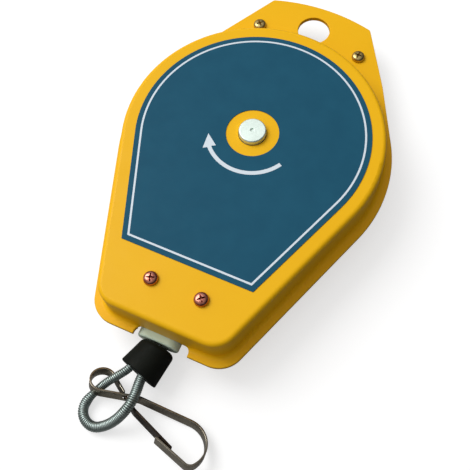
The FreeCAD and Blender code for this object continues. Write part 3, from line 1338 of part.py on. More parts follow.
for name, node in NODES.items():
    if node.Shape.isNull() or not node.Shape.isValid() or not node.Shape.Solids:
        raise RuntimeError("%s has no valid solid" % name)
os.makedirs("parts", exist_ok=True)
for name, node in NODES.items():
    node.Shape.exportStep(os.path.join("parts", name + ".step"))
    box = node.Shape.BoundBox
    print("%-15s %2d solid(s) %9.1f mm3  x %6.1f %6.1f  y %6.1f %6.1f  z %5.1f %5.1f" % (
        name, len(node.Shape.Solids), node.Shape.Volume, box.XMin, box.XMax, box.YMin, box.YMax,
        box.ZMin, box.ZMax))
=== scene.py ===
"""Spring tool balancer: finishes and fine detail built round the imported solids."""

import logging
import math
from collections.abc import Sequence
from dataclasses import dataclass, field
from enum import Enum

import bmesh
import bpy
from mathutils import Matrix, Vector


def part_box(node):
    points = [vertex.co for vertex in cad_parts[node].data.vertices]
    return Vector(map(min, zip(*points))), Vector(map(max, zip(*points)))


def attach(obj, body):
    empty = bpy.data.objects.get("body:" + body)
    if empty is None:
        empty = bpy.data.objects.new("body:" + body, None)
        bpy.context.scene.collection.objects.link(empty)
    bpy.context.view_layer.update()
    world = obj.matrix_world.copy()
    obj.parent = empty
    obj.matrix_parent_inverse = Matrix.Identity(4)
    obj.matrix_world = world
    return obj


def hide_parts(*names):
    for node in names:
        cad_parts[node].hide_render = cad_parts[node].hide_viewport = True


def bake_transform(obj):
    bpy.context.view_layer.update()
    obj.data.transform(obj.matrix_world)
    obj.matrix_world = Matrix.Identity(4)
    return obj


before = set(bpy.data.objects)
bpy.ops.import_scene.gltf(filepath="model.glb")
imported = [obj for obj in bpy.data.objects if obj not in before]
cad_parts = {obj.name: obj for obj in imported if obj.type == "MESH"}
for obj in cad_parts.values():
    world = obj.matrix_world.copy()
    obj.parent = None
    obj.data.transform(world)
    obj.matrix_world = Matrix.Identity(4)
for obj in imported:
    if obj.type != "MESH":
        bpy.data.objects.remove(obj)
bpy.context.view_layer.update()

LOG = logging.getLogger("tool_balancer")
MM = 0.001
TURN = 2 * math.pi
LAY = 17.0  # millimetres of rope in which a wire goes round once
MIX_FIRST, MIX_SECOND, MIX_RESULT = 6, 7, 2  # a Mix node's colour sockets

Point = tuple[float, float, float]
Tone = tuple[int, int, int]


class Grain(Enum):
    """Fine relief that a finish carries."""

    PEEL = "sprayed paint's orange peel"
    RINGS = "turning marks about the axle"
    DRAWN = "lines along a drawn or rolled strip"
    CAST = "grainy cast or moulded skin"
    LAID = "wires laid round a rope"
    SMOOTH = "no relief to speak of"


class Cut(Enum):
    """How a form and its tool make the shape that is planted."""

    SINK = "DIFFERENCE"
    STRIKE = "INTERSECT"


class Run(Enum):
    """How a line passes its points."""

    STRAIGHT = "POLY"
    ROUNDED = "NURBS"


def metres(place: Point) -> Point:
    """Turn a place in millimetres into metres."""
    return tuple(c * MM for c in place)


def linear(tone: Tone) -> tuple[float, float, float, float]:
    """Turn a display colour of 0 to 255 into the linear colour a shader takes.

    Args:
        tone: red, green and blue as displayed.

    Returns:
        Linear red, green, blue and an alpha of 1.
    """
    parts = [c / 255 for c in tone]
    return (*(c / 12.92 if c <= 0.04045 else ((c + 0.055) / 1.055) ** 2.4 for c in parts), 1.0)


class NodeBoard:
    """Thin wrapper that adds nodes to a tree and wires them."""

    def __init__(self, tree: bpy.types.NodeTree) -> None:
        """Keep the tree that nodes are added to."""
        self.tree = tree

    def add(self, kind: str, inputs: dict | None = None, **settings: object) -> bpy.types.Node:
        """Add a node, set its properties, and fill or wire its inputs.

        Args:
            kind: the node's type name.
            inputs: values or output sockets by input name or index.
            settings: the node's own properties.

        Returns:
            The new node.
        """
        node = self.tree.nodes.new(kind)
        for name, value in settings.items():
            setattr(node, name, value)
        for name, value in (inputs or {}).items():
            socket = node.inputs[name]
            if isinstance(value, bpy.types.NodeSocket):
                self.tree.links.new(value, socket)
            else:
                socket.default_value = value
        return node

    def math(self, operation: str, *values: object) -> bpy.types.NodeSocket:
        """Add a maths node over numbers or sockets and return its output."""
        return self.add("ShaderNodeMath", dict(enumerate(values)), operation=operation).outputs[0]

    def vector(self, operation: str, *values: object, out: str = "Vector") -> bpy.types.NodeSocket:
        """Add a vector maths node.

        Args:
            operation: what it does.
            values: its inputs in order; for SCALE the vector and then the factor.
            out: the output's name.

        Returns:
            The output.
        """
        inputs = dict(enumerate(values))
        if operation == "SCALE":
            inputs["Scale"] = inputs.pop(1)
        return self.add("ShaderNodeVectorMath", inputs, operation=operation).outputs[out]

    def tones(self, share: object, first: object, second: object) -> bpy.types.NodeSocket:
        """Mix two colours by a share and return the result."""
        inputs = {"Factor": share, MIX_FIRST: first, MIX_SECOND: second}
        return self.add("ShaderNodeMix", inputs, data_type="RGBA").outputs[MIX_RESULT]

    def span(self, value: object, given: tuple, wanted: tuple, **settings: object) -> bpy.types.NodeSocket:
        """Map one range of a value onto another.

        Args:
            value: the value to map.
            given: low and high end of the range it comes in.
            wanted: low and high end of the range it leaves in.
            settings: the node's own properties.

        Returns:
            The mapped value.
        """
        return self.add("ShaderNodeMapRange", {
            "Value": value, "From Min": given[0], "From Max": given[1],
            "To Min": wanted[0], "To Max": wanted[1],
        }, **settings).outputs["Result"]


@dataclass(frozen=True)
class Finish:
    """Surface finish made of nodes that read object coordinates.

    Sizes are millimetres and tones are display colours. `stretch` draws out the grain of a drawn
    strip, and `rope_at` is a point on the middle line of a laid rope.
    """

    name: str
    tone: Tone
    second: Tone
    roughness: float
    spread: float = 0.06
    metallic: float = 0.0
    specular: float = 0.5
    subsurface: float = 0.0
    patch: float = 14.0
    patch_share: float = 0.5
    grain: Grain = Grain.SMOOTH
    grain_size: float = 0.6
    grain_depth: float = 0.02
    stretch: Point = (1.0, 1.0, 1.0)
    rope_at: Point = (0.0, 0.0, 0.0)

    def build(self) -> bpy.types.Material:
        """Make the material once and keep it for every piece in this finish.

        Returns:
            The material.
        """
        label = f"{self.name}_finish"
        found = bpy.data.materials.get(label)
        if found:
            return found
        material = bpy.data.materials.new(label)
        material.use_nodes = True
        material.diffuse_color = linear(self.tone)
        board = NodeBoard(material.node_tree)
        shader = material.node_tree.nodes["Principled BSDF"]
        place = board.add("ShaderNodeTexCoord").outputs["Object"]
        self.colour(board, shader, place)
        self.gloss(board, shader, place)
        self.relief(board, shader, place)
        shader.inputs["Metallic"].default_value = self.metallic
        shader.inputs["Specular IOR Level"].default_value = self.specular
        if self.subsurface:
            shader.inputs["Subsurface Weight"].default_value = self.subsurface
            shader.inputs["Subsurface Radius"].default_value = metres((0.9, 0.8, 0.6))
            shader.inputs["Subsurface Scale"].default_value = 1.0
        return material

    def cloud(self, board: NodeBoard, place: object, size: float, detail: float) -> object:
        """Add soft noise.

        Args:
            board: the material's board.
            place: coordinates that the noise reads.
            size: size of a patch in millimetres.
            detail: octaves of finer noise.

        Returns:
            The noise, around one half.
        """
        return board.add("ShaderNodeTexNoise", {
            "Vector": place, "Scale": 1 / (size * MM), "Detail": detail, "Roughness": 0.55,
        }).outputs["Fac"]

    def colour(self, board: NodeBoard, shader: bpy.types.Node, place: object) -> None:
        """Blend the two tones in soft patches with fine specks over them.

        Args:
            board: the material's board.
            shader: the surface shader.
            place: object coordinates.
        """
        patches = self.cloud(board, place, self.patch, 3.0)
        specks = self.cloud(board, place, max(0.25, 0.6 * self.grain_size), 2.0)
        both = board.math("ADD", board.math("MULTIPLY", patches, 0.75),
                          board.math("MULTIPLY", specks, 0.25))
        share = board.span(both, (0.38, 0.62), (0.0, self.patch_share))
        self.tint(board, shader, place, board.tones(share, linear(self.tone), linear(self.second)))

    def tint(self, board: NodeBoard, shader: bpy.types.Node, place: object, colour: object) -> None:
        """Last step of the colour; a finish with a pattern of its own adds it here."""
        board.tree.links.new(colour, shader.inputs["Base Color"])

    def gloss(self, board: NodeBoard, shader: bpy.types.Node, place: object) -> None:
        """Vary the roughness in patches smaller than the colour's.

        Args:
            board: the material's board.
            shader: the surface shader.
            place: object coordinates.
        """
        value = board.span(self.cloud(board, place, 0.4 * self.patch, 4.0), (0.3, 0.7),
                           (self.roughness - self.spread, self.roughness + self.spread))
        board.tree.links.new(value, shader.inputs["Roughness"])

    def laid(self, board: NodeBoard, place: object) -> object:
        """Relief of twelve wires laid round a rope that runs along Y; the grain's size is one lay.

        Args:
            board: the material's board.
            place: object coordinates.

        Returns:
            The height, 0 between two wires and 1 on top of one.
        """
        half_waves = 6.0
        away = board.vector("SUBTRACT", place, metres(self.rope_at))
        parts = board.add("ShaderNodeSeparateXYZ", {0: away}).outputs
        round_it = board.math("MULTIPLY", board.math("ARCTAN2", parts["Z"], parts["X"]), half_waves)
        onward = board.math("MULTIPLY", parts["Y"], half_waves * TURN / (self.grain_size * MM))
        return board.math("ABSOLUTE", board.math("SINE", board.math("ADD", round_it, onward)))

    def relief(self, board: NodeBoard, shader: bpy.types.Node, place: object) -> None:
        """Add the bump of the finish's grain.

        Args:
            board: the material's board.
            shader: the surface shader.
            place: object coordinates.
        """
        if self.grain is Grain.SMOOTH:
            return
        if self.grain is Grain.RINGS:
            height = board.add("ShaderNodeTexWave", {
                "Vector": place, "Scale": TURN / (20 * self.grain_size * MM), "Distortion": 1.2,
                "Detail": 2.0, "Detail Scale": 0.4,
            }, wave_type="RINGS", rings_direction="Z").outputs["Fac"]
        elif self.grain is Grain.LAID:
            height = self.laid(board, place)
        elif self.grain is Grain.DRAWN:
            stretched = board.add("ShaderNodeMapping", {"Vector": place, "Scale": self.stretch}).outputs[0]
            height = self.cloud(board, stretched, self.grain_size, 5.0)
        elif self.grain is Grain.CAST:
            pits = board.add("ShaderNodeTexVoronoi", {
                "Vector": place, "Scale": 1 / (self.grain_size * MM),
            }).outputs["Distance"]
            height = board.math("ADD", board.math("MULTIPLY", pits, 0.5),
                                self.cloud(board, place, self.grain_size, 4.0))
        else:
            height = self.cloud(board, place, self.grain_size, 2.0)
        bump = board.add("ShaderNodeBump", {
            "Height": height, "Distance": self.grain_depth * MM, "Strength": 1.0,
        }).outputs["Normal"]
        board.tree.links.new(bump, shader.inputs["Normal"])


@dataclass(frozen=True)
class SeamedEnamel(Finish):
    """Paint that gathers a little dirt where the two covers' flanges meet."""

    seam: float = 15.8
    seam_core: float = 0.02
    seam_reach: float = 0.22
    seam_share: float = 0.75
    dirt: Tone = (120, 82, 14)

    def tint(self, board: NodeBoard, shader: bpy.types.Node, place: object, colour: object) -> None:
        """Darken a thin line at the seam's level.

        Args:
            board: the material's board.
            shader: the surface shader.
            place: object coordinates.
            colour: the clean paint's colour.
        """
        level = board.add("ShaderNodeSeparateXYZ", {0: place}).outputs["Z"]
        away = board.math("ABSOLUTE", board.math("SUBTRACT", level, self.seam * MM))
        near = board.span(away, (self.seam_core * MM, self.seam_reach * MM), (self.seam_share, 0.0))
        super().tint(board, shader, place, board.tones(near, colour, linear(self.dirt)))


ENAMEL = SeamedEnamel("yellow_enamel", (244, 186, 18), (241, 181, 12), 0.4, 0.05, specular=0.14,
                      patch=22.0, grain=Grain.PEEL, grain_size=1.5, grain_depth=0.012)
FILM = Finish("label_film", (31, 86, 110), (26, 78, 102), 0.5, 0.05, specular=0.07, patch=9.0,
              grain=Grain.PEEL, grain_size=0.35, grain_depth=0.004)
INK = Finish("white_ink", (218, 228, 236), (206, 216, 226), 0.5, 0.04, patch=2.0, patch_share=0.4)
ZINC = Finish("brassy_zinc", (198, 172, 112), (140, 128, 84), 0.3, 0.1, metallic=1.0, patch=2.4,
              grain=Grain.CAST, grain_size=0.3, grain_depth=0.01)
COPPERY = Finish("coppery_plate", (198, 136, 118), (142, 74, 62), 0.26, 0.1, metallic=1.0, patch=1.6,
                 patch_share=0.8, grain=Grain.CAST, grain_size=0.3, grain_depth=0.008)
BRIGHT = Finish("turned_steel", (228, 242, 234), (216, 230, 222), 0.4, 0.06, metallic=0.7, patch=3.0,
                grain=Grain.RINGS, grain_size=0.24, grain_depth=0.004)
PLATED = Finish("plated_steel", (190, 190, 180), (164, 160, 140), 0.36, 0.1, metallic=1.0, patch=5.0,
                grain=Grain.CAST, grain_size=0.5, grain_depth=0.012)
BLUED = Finish("blued_spring", (92, 96, 104), (70, 66, 76), 0.32, 0.08, metallic=1.0, patch=7.0,
               grain=Grain.DRAWN, grain_size=0.5, grain_depth=0.01, stretch=(1.0, 1.0, 0.1))
BRONZE = Finish("oiled_bronze", (176, 134, 82), (140, 102, 60), 0.42, 0.08, metallic=1.0, patch=2.5,
                grain=Grain.CAST, grain_size=0.3, grain_depth=0.02)
CASTING = Finish("cast_alloy", (186, 188, 190), (160, 162, 166), 0.46, 0.08, metallic=1.0, patch=10.0,
                 grain=Grain.CAST, grain_size=0.7, grain_depth=0.03)
NYLON = Finish("natural_nylon", (214, 230, 208), (202, 218, 196), 0.4, 0.06, specular=0.3,
               subsurface=0.15, patch=5.0, grain=Grain.PEEL, grain_size=0.8, grain_depth=0.012)
RUBBER = Finish("black_rubber", (22, 25, 21), (14, 15, 13), 0.56, 0.08, specular=0.08, patch=4.0,
                grain=Grain.CAST, grain_size=0.45, grain_depth=0.02)
ROPE = Finish("rope_steel", (168, 176, 174), (120, 128, 128), 0.3, 0.08, metallic=1.0, patch=2.0,
              grain=Grain.DRAWN, grain_size=0.3, grain_depth=0.006, stretch=(1.0, 0.2, 1.0))
DRAWN_ROPE = Finish("drawn_rope", (160, 168, 166), (112, 120, 120), 0.34, 0.08, metallic=1.0,
                    patch=2.0, grain=Grain.LAID, grain_size=LAY, grain_depth=0.22,
                    rope_at=(-0.65, -93.7, 10.7))
SLEEVE = Finish("sleeve_steel", (172, 184, 180), (132, 144, 141), 0.36, 0.07, metallic=1.0, patch=3.0)
HOOK = Finish("hook_steel", (162, 155, 140), (118, 108, 94), 0.24, 0.08, metallic=1.0, patch=5.0,
              patch_share=0.8, grain=Grain.DRAWN, grain_size=0.5, grain_depth=0.008,
              stretch=(0.2, 1.0, 1.0))
# Same steel as the hook, darker: painted shade standing in for the shade on the gate's face
PAINTED_SHADE_GATE = Finish("hook_steel_painted_shade", (72, 60, 50), (48, 38, 30), 0.26, 0.08, metallic=1.0, patch=5.0,
              patch_share=0.8, grain=Grain.DRAWN, grain_size=0.5, grain_depth=0.008,
              stretch=(0.2, 1.0, 1.0))


def stand(name: str, data: bpy.types.ID) -> bpy.types.Object:
    """Make an object of the data and link it to the scene.

    Args:
        name: the object's name.
        data: its mesh, curve, camera or lamp.

    Returns:
        The object.
    """
    thing = bpy.data.objects.new(name, data)
    bpy.context.scene.collection.objects.link(thing)
    return thing


def dress(node: str, finish: Finish) -> bpy.types.Object:
    """Give a CAD node its finish.

    Args:
        node: the node's name.
        finish: what it is coated with or made of.

    Returns:
        The node's object.
    """
    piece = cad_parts[node]
    piece.data.materials.clear()
    piece.data.materials.append(finish.build())
    LOG.info("dressed %s in %s", node, finish.name)
    return piece


def soften(piece: bpy.types.Object, width: float, angle: float = 35.0) -> None:
    """Break a CAD node's sharp edges, as tumbling or paint does.

    Args:
        piece: the node's object.
        width: width of the broken edge in millimetres.
        angle: edges sharper than this many degrees are broken.
    """
    weld = piece.modifiers.new("weld", "WELD")
    weld.merge_threshold = 0.0005 * MM
    flat = piece.modifiers.new("flat", "DECIMATE")
    flat.decimate_type = "DISSOLVE"
    flat.angle_limit = math.radians(0.3)
    bevel = piece.modifiers.new("edges", "BEVEL")
    bevel.width = width * MM
    bevel.segments = 2
    bevel.limit_method = "ANGLE"
    bevel.angle_limit = math.radians(angle)
    bevel.use_clamp_overlap = False
    bevel.harden_normals = False


def new_piece(name: str, points: list, faces: list) -> bpy.types.Object:
    """Make a mesh object from points in metres and faces.

    Args:
        name: the piece's name.
        points: vertex places.
        faces: vertex indices of each face.

    Returns:
        The new object, linked to the scene.
    """
    mesh = bpy.data.meshes.new(name)
    mesh.from_pydata(points, [], faces)
    mesh.validate()
    return stand(name, mesh)


def new_curve(name: str, run: Run, route: Sequence[Point]) -> bpy.types.Object:
    """Make an open curve of one spline.

    Args:
        name: the curve's name.
        run: STRAIGHT from point to point, ROUNDED to pass between them.
        route: its points in metres.

    Returns:
        The curve's object.
    """
    data = bpy.data.curves.new(name, "CURVE")
    data.dimensions = "3D"
    spline = data.splines.new(run.value)
    spline.points.add(len(route) - 1)
    for point, place in zip(spline.points, route):
        point.co = (*place, 1.0)
    return stand(name, data)


def join(name: str, parts: list[bpy.types.Object]) -> bpy.types.Object:
    """Join meshes into one piece.

    Args:
        name: the joined piece's name.
        parts: mesh objects at the world's origin; they are removed.

    Returns:
        The joined object, with the first part's materials.
    """
    shape = bmesh.new()
    for part in parts:
        shape.from_mesh(part.data)
    mesh = bpy.data.meshes.new(name)
    shape.to_mesh(mesh)
    shape.free()
    for material in parts[0].data.materials:
        mesh.materials.append(material)
    for part in parts:
        bpy.data.objects.remove(part)
    return stand(name, mesh)


def ring_points(radius: float, height: float, count: int) -> list[Point]:
    """Even points on a circle about Z, sizes in millimetres and points in metres."""
    return [metres((radius * math.cos(TURN * i / count), radius * math.sin(TURN * i / count), height))
            for i in range(count)]


def lathe(name: str, profile: list[tuple[float, float]], segments: int) -> bpy.types.Object:
    """Turn a profile about Z.

    Args:
        name: the form's name.
        profile: radius and height pairs in millimetres, from the axis out and back to it.
        segments: faces round the turn.

    Returns:
        A closed form about its own origin.
    """
    points, rings, faces = [], [], []
    for radius, height in profile:
        if radius == 0:
            rings.append([len(points)] * segments)
            points.append((0.0, 0.0, height * MM))
            continue
        rings.append(list(range(len(points), len(points) + segments)))
        points += ring_points(radius, height, segments)
    for low, high in zip(rings, rings[1:]):
        for i in range(segments):
            j = (i + 1) % segments
            faces.append(list(dict.fromkeys((low[i], low[j], high[j], high[i]))))
    return new_piece(name, points, faces)


def flat_print(name: str, outside: list[Vector], inside: list[Vector] | None, level: float,
               body: float) -> bpy.types.Object:
    """Thin printed shape between two outlines, or inside one.

    Args:
        name: the piece's name.
        outside: outline in metres, anticlockwise.
        inside: outline of the same count for a line, or None for a filled shape.
        level: Z of its underside.
        body: thickness of the ink.

    Returns:
        The closed mesh as an object.
    """
    count = len(outside)
    rims = [outside] + ([inside] if inside else [])
    points = [(p.x, p.y, z) for z in (level, level + body) for rim in rims for p in rim]
    step = count * len(rims)
    faces = []
    for i in range(count):
        j = (i + 1) % count
        faces.append((i, j, step + j, step + i))
        if inside:
            faces.append((count + j, count + i, step + count + i, step + count + j))
            faces.append((step + i, step + j, step + count + j, step + count + i))
            faces.append((j, i, count + i, count + j))
    if not inside:
        faces.append(tuple(range(step, 2 * step)))
        faces.append(tuple(reversed(range(step))))
    return new_piece(name, points, faces)


def tree_inputs(tree: bpy.types.NodeTree, sockets: dict[str, str]) -> NodeBoard:
    """Give a geometry tree its named inputs and a geometry output.

    Args:
        tree: the new tree.
        sockets: socket type by input name.

    Returns:
        A board on the tree.
    """
    tree.interface.new_socket("Geometry", in_out="INPUT", socket_type="NodeSocketGeometry")
    for name, kind in sockets.items():
        tree.interface.new_socket(name, in_out="INPUT", socket_type=kind)
    tree.interface.new_socket("Geometry", in_out="OUTPUT", socket_type="NodeSocketGeometry")
    return NodeBoard(tree)


def laid_wire_tree() -> bpy.types.NodeTree:
    """Tree that lays wires in helices along a curve: a coil is one wire, a rope several.

    Returns:
        The tree, with inputs for the wires' number, turns, radii and share of the curve.
    """
    tree = bpy.data.node_groups.new("laid_wire", "GeometryNodeTree")
    board = tree_inputs(tree, {
        "Wires": "NodeSocketInt", "Turns": "NodeSocketFloat", "Lay radius": "NodeSocketFloat",
        "Wire radius": "NodeSocketFloat", "From": "NodeSocketFloat", "To": "NodeSocketFloat",
        "Start share": "NodeSocketFloat", "Start to": "NodeSocketFloat", "Full from": "NodeSocketFloat",
        "Rings": "NodeSocketInt", "Sides": "NodeSocketInt", "Finish": "NodeSocketMaterial",
    })
    given = board.add("NodeGroupInput").outputs
    part = board.add("GeometryNodeTrimCurve", {
        "Curve": given["Geometry"], "Start": given["From"], "End": given["To"],
    }, mode="FACTOR").outputs[0]
    spaced = board.add("GeometryNodeResampleCurve", {
        "Curve": part, "Count": given["Rings"],
    }).outputs[0]
    copies = board.add("GeometryNodeDuplicateElements", {
        "Geometry": spaced, "Amount": given["Wires"],
    }, domain="SPLINE")
    along = board.add("GeometryNodeSplineParameter").outputs["Factor"]
    share = board.math("DIVIDE", copies.outputs["Duplicate Index"], given["Wires"])
    turns = board.math("ADD", board.math("MULTIPLY", along, given["Turns"]), share)
    angle = board.math("MULTIPLY", turns, TURN)
    normal = board.add("GeometryNodeInputNormal").outputs[0]
    tangent = board.add("GeometryNodeInputTangent").outputs[0]
    side = board.vector("CROSS_PRODUCT", tangent, normal)
    reach = board.vector("ADD", board.vector("SCALE", normal, board.math("COSINE", angle)),
                         board.vector("SCALE", side, board.math("SINE", angle)))
    widening = board.span(along, (given["Start to"], given["Full from"]), (given["Start share"], 1.0),
                          interpolation_type="SMOOTHSTEP")
    lay = board.math("MULTIPLY", given["Lay radius"], widening)
    moved = board.add("GeometryNodeSetPosition", {
        "Geometry": copies.outputs[0], "Offset": board.vector("SCALE", reach, lay),
    }).outputs[0]
    ring = board.add("GeometryNodeCurvePrimitiveCircle", {
        "Resolution": given["Sides"], "Radius": given["Wire radius"],
    }).outputs["Curve"]
    wires = board.add("GeometryNodeCurveToMesh", {
        "Curve": moved, "Profile Curve": ring, "Fill Caps": True,
    }).outputs[0]
    solid = board.add("GeometryNodeRealizeInstances", {"Geometry": wires}).outputs[0]
    smooth = board.add("GeometryNodeSetShadeSmooth", {"Geometry": solid}).outputs[0]
    coated = board.add("GeometryNodeSetMaterial", {
        "Geometry": smooth, "Material": given["Finish"],
    }).outputs[0]
    board.add("NodeGroupOutput", {"Geometry": coated})
    return tree


def planted_tree(name: str, cut: Cut) -> bpy.types.NodeTree:
    """Tree that cuts a form with a tool and plants the result on the mesh's points.

    Args:
        name: the tree's name.
        cut: SINK to take the tool out of the form, STRIKE to keep what both share.

    Returns:
        The tree, with inputs for the form, the tool, the turn step and the finish.
    """
    tree = bpy.data.node_groups.new(name, "GeometryNodeTree")
    board = tree_inputs(tree, {
        "Form": "NodeSocketObject", "Tool": "NodeSocketObject", "Turn step": "NodeSocketFloat",
        "Seed": "NodeSocketInt", "Finish": "NodeSocketMaterial",
    })
    given = board.add("NodeGroupInput").outputs
    form = board.add("GeometryNodeObjectInfo", {"Object": given["Form"]}).outputs["Geometry"]
    tool = board.add("GeometryNodeObjectInfo", {"Object": given["Tool"]}).outputs["Geometry"]
    shaped = board.add("GeometryNodeMeshBoolean", operation=cut.value, solver="EXACT")
    tree.links.new(form, shaped.inputs["Mesh 1" if cut is Cut.SINK else "Mesh 2"])
    tree.links.new(tool, shaped.inputs["Mesh 2"])
    index = board.add("GeometryNodeInputIndex").outputs[0]
    wobble = board.add("FunctionNodeRandomValue", {
        "ID": index, "Seed": given["Seed"],
    }, data_type="FLOAT").outputs["Value"]
    turn = board.add("ShaderNodeCombineXYZ", {
        "Z": board.math("MULTIPLY", wobble, given["Turn step"]),
    }).outputs[0]
    spots = board.add("GeometryNodeMeshToPoints", {"Mesh": given["Geometry"]}).outputs[0]
    planted = board.add("GeometryNodeInstanceOnPoints", {
        "Points": spots, "Instance": shaped.outputs["Mesh"], "Rotation": turn,
    }).outputs[0]
    solid = board.add("GeometryNodeRealizeInstances", {"Geometry": planted}).outputs[0]
    coated = board.add("GeometryNodeSetMaterial", {
        "Geometry": solid, "Material": given["Finish"],
    }).outputs[0]
    board.add("NodeGroupOutput", {"Geometry": coated})
    return tree


def grow(name: str, source: bpy.types.Object, tree: bpy.types.NodeTree,
         values: dict[str, object]) -> bpy.types.Object:
    """Run a geometry tree on an object and keep the result as a plain mesh.

    Args:
        name: the finished piece's name.
        source: what the tree works on; it is removed afterwards.
        tree: the geometry tree.
        values: the tree's inputs by name.

    Returns:
        The finished mesh object, at the world's origin.
    """
    worker = source.modifiers.new("tree", "NODES")
    worker.node_group = tree
    keys = {item.name: item.identifier for item in tree.interface.items_tree
            if item.in_out == "INPUT"}
    for label, value in values.items():
        worker[keys[label]] = value
    bpy.context.view_layer.update()
    ready = source.evaluated_get(bpy.context.evaluated_depsgraph_get())
    mesh = bpy.data.meshes.new_from_object(ready)
    source.modifiers.remove(worker)
    bpy.data.objects.remove(source)
    mesh.name = name
    return stand(name, mesh)


@dataclass(frozen=True)
class Winding:
    """Round wires laid along a line: one wound into a coil, or several into a rope.

    Sizes are millimetres. The lay may start narrower: it has `start_share` of its radius up to
    `start_to` and all of it from `full_from`, both as shares of the line.
    """

    wires: int
    turns: float
    lay: float
    wire: float
    rings: int
    sides: int
    finish: Finish
    start: float = 0.0
    end: float = 1.0
    start_share: float = 1.0
    start_to: float = 0.0
    full_from: float = 1.0

    def along(self, name: str, line: bpy.types.Object) -> bpy.types.Object:
        """Lay the wires along a line.

        Args:
            name: the finished piece's name.
            line: a curve object; it is removed afterwards.

        Returns:
            The wires as one mesh object.
        """
        tree = bpy.data.node_groups.get("laid_wire") or laid_wire_tree()
        return grow(name, line, tree, {
            "Wires": self.wires, "Turns": self.turns, "Lay radius": self.lay * MM,
            "Wire radius": self.wire * MM, "From": self.start, "To": self.end,
            "Start share": self.start_share, "Start to": self.start_to, "Full from": self.full_from,
            "Rings": self.rings, "Sides": self.sides, "Finish": self.finish.build(),
        })


def smooth_by_angle(piece: bpy.types.Object, degrees: float) -> None:
    """Shade a mesh smooth and keep its sharper edges.

    Args:
        piece: the mesh object.
        degrees: edges that turn by more than this stay sharp.
    """
    mesh = piece.data
    shape = bmesh.new()
    shape.from_mesh(mesh)
    bmesh.ops.recalc_face_normals(shape, faces=shape.faces)
    for face in shape.faces:
        face.smooth = True
    limit = math.radians(degrees)
    for edge in shape.edges:
        edge.smooth = len(edge.link_faces) == 2 and edge.calc_face_angle(0.0) < limit
    shape.to_mesh(mesh)
    shape.free()


def finish_piece(piece: bpy.types.Object, body: str,
                 replaced: tuple[str, ...] = ()) -> None:
    """Hang a finished piece on its body and hide the CAD nodes it stands for.

    Args:
        piece: the finished object.
        body: the CAD body it moves with.
        replaced: CAD nodes it stands for.
    """
    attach(piece, body)
    if replaced:
        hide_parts(*replaced)
    LOG.info("built %s: %d faces on %s", piece.name, len(piece.data.polygons), body)


@dataclass
class Casing:
    """Both pressed covers.

    `edges` gives the width of each cover's rounded edges in millimetres, and edges sharper than
    `sharper_than` degrees are rounded.
    """

    edges: dict[str, float] = field(default_factory=lambda: {
        "front_cover": 0.28, "rear_cover": 0.1,
    })
    sharper_than: float = 58.0

    def build(self) -> None:
        """Paint the covers and round their sheared edges with paint."""
        for name, edge in self.edges.items():
            soften(dress(name, ENAMEL), edge, self.sharper_than)


@dataclass
class FacePlate:
    """Printed plate on the face: film, white border and the tightening arrow.

    Sizes are millimetres. The arrow's start, neck and tip are degrees about the axle, and its barbs
    are so many degrees before the neck.
    """

    radius: float = 50.0
    foot: float = 64.6
    half_foot: float = 28.6
    inset: float = 2.2
    line: float = 0.82
    ink: float = 0.03
    arrow_radius: float = 19.2
    arrow_width: float = 1.7
    arrow_start: float = -29.5
    arrow_neck: float = -137.0
    arrow_tip: float = -156.5
    head_reach: float = 2.8
    barb_inside: float = 1.5
    barb_outside: float = -1.0
    tip_inside: float = 0.6
    edge: float = 0.08

    def outline(self, inset: float, steps: int = 96) -> list[Vector]:
        """Plate outline moved inwards.

        Args:
            inset: distance from the plate's edge in millimetres.
            steps: runs in the round top.

        Returns:
            Points in metres, anticlockwise.
        """
        reach = math.hypot(self.half_foot, self.foot)
        lean = math.atan2(-self.foot, self.half_foot) + math.acos(self.radius / reach)
        round_end, base = self.radius - inset, inset - self.foot
        corner = (round_end - math.sin(lean) * base) / math.cos(lean)
        points = [Vector((-corner, base, 0)), Vector((corner, base, 0))]
        for i in range(steps + 1):
            angle = lean + (math.pi - 2 * lean) * i / steps
            points.append(Vector((round_end * math.cos(angle), round_end * math.sin(angle), 0)))
        return [p * MM for p in points]

    def beside_arrow(self, aside: float, degrees: float) -> Vector:
        """Place in metres at an angle about the axle, `aside` millimetres outside the arrow's line."""
        angle, radius = math.radians(degrees), self.arrow_radius + aside
        return Vector((radius * math.cos(angle), radius * math.sin(angle), 0)) * MM

    def arrow(self, steps: int = 60) -> list[Vector]:
        """Outline of the curved arrow about the axle.

        Args:
            steps: runs along its shaft.

        Returns:
            Points in metres, anticlockwise.
        """
        span = self.arrow_neck - self.arrow_start
        sweep = [self.arrow_start + span * i / steps for i in range(steps + 1)]
        half = self.arrow_width / 2
        inner = [self.beside_arrow(-half, d) for d in sweep]
        outer = [self.beside_arrow(half, d) for d in reversed(sweep)]
        head = [self.beside_arrow(-self.head_reach, self.arrow_neck + self.barb_inside),
                self.beside_arrow(-self.tip_inside, self.arrow_tip),
                self.beside_arrow(self.head_reach, self.arrow_neck + self.barb_outside)]
        return list(reversed(inner + head + outer))

    def build(self) -> None:
        """Dress the plate and print its border and arrow."""
        soften(dress("face_label", FILM), self.edge)
        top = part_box("face_label")[1].z
        border = flat_print("label_border", self.outline(self.inset),
                            self.outline(self.inset + self.line), top, self.ink * MM)
        arrow = flat_print("label_arrow", self.arrow(), None, top, self.ink * MM)
        for print_piece in (border, arrow):
            smooth_by_angle(print_piece, 20)
            print_piece.data.materials.append(INK.build())
            finish_piece(print_piece, "case")


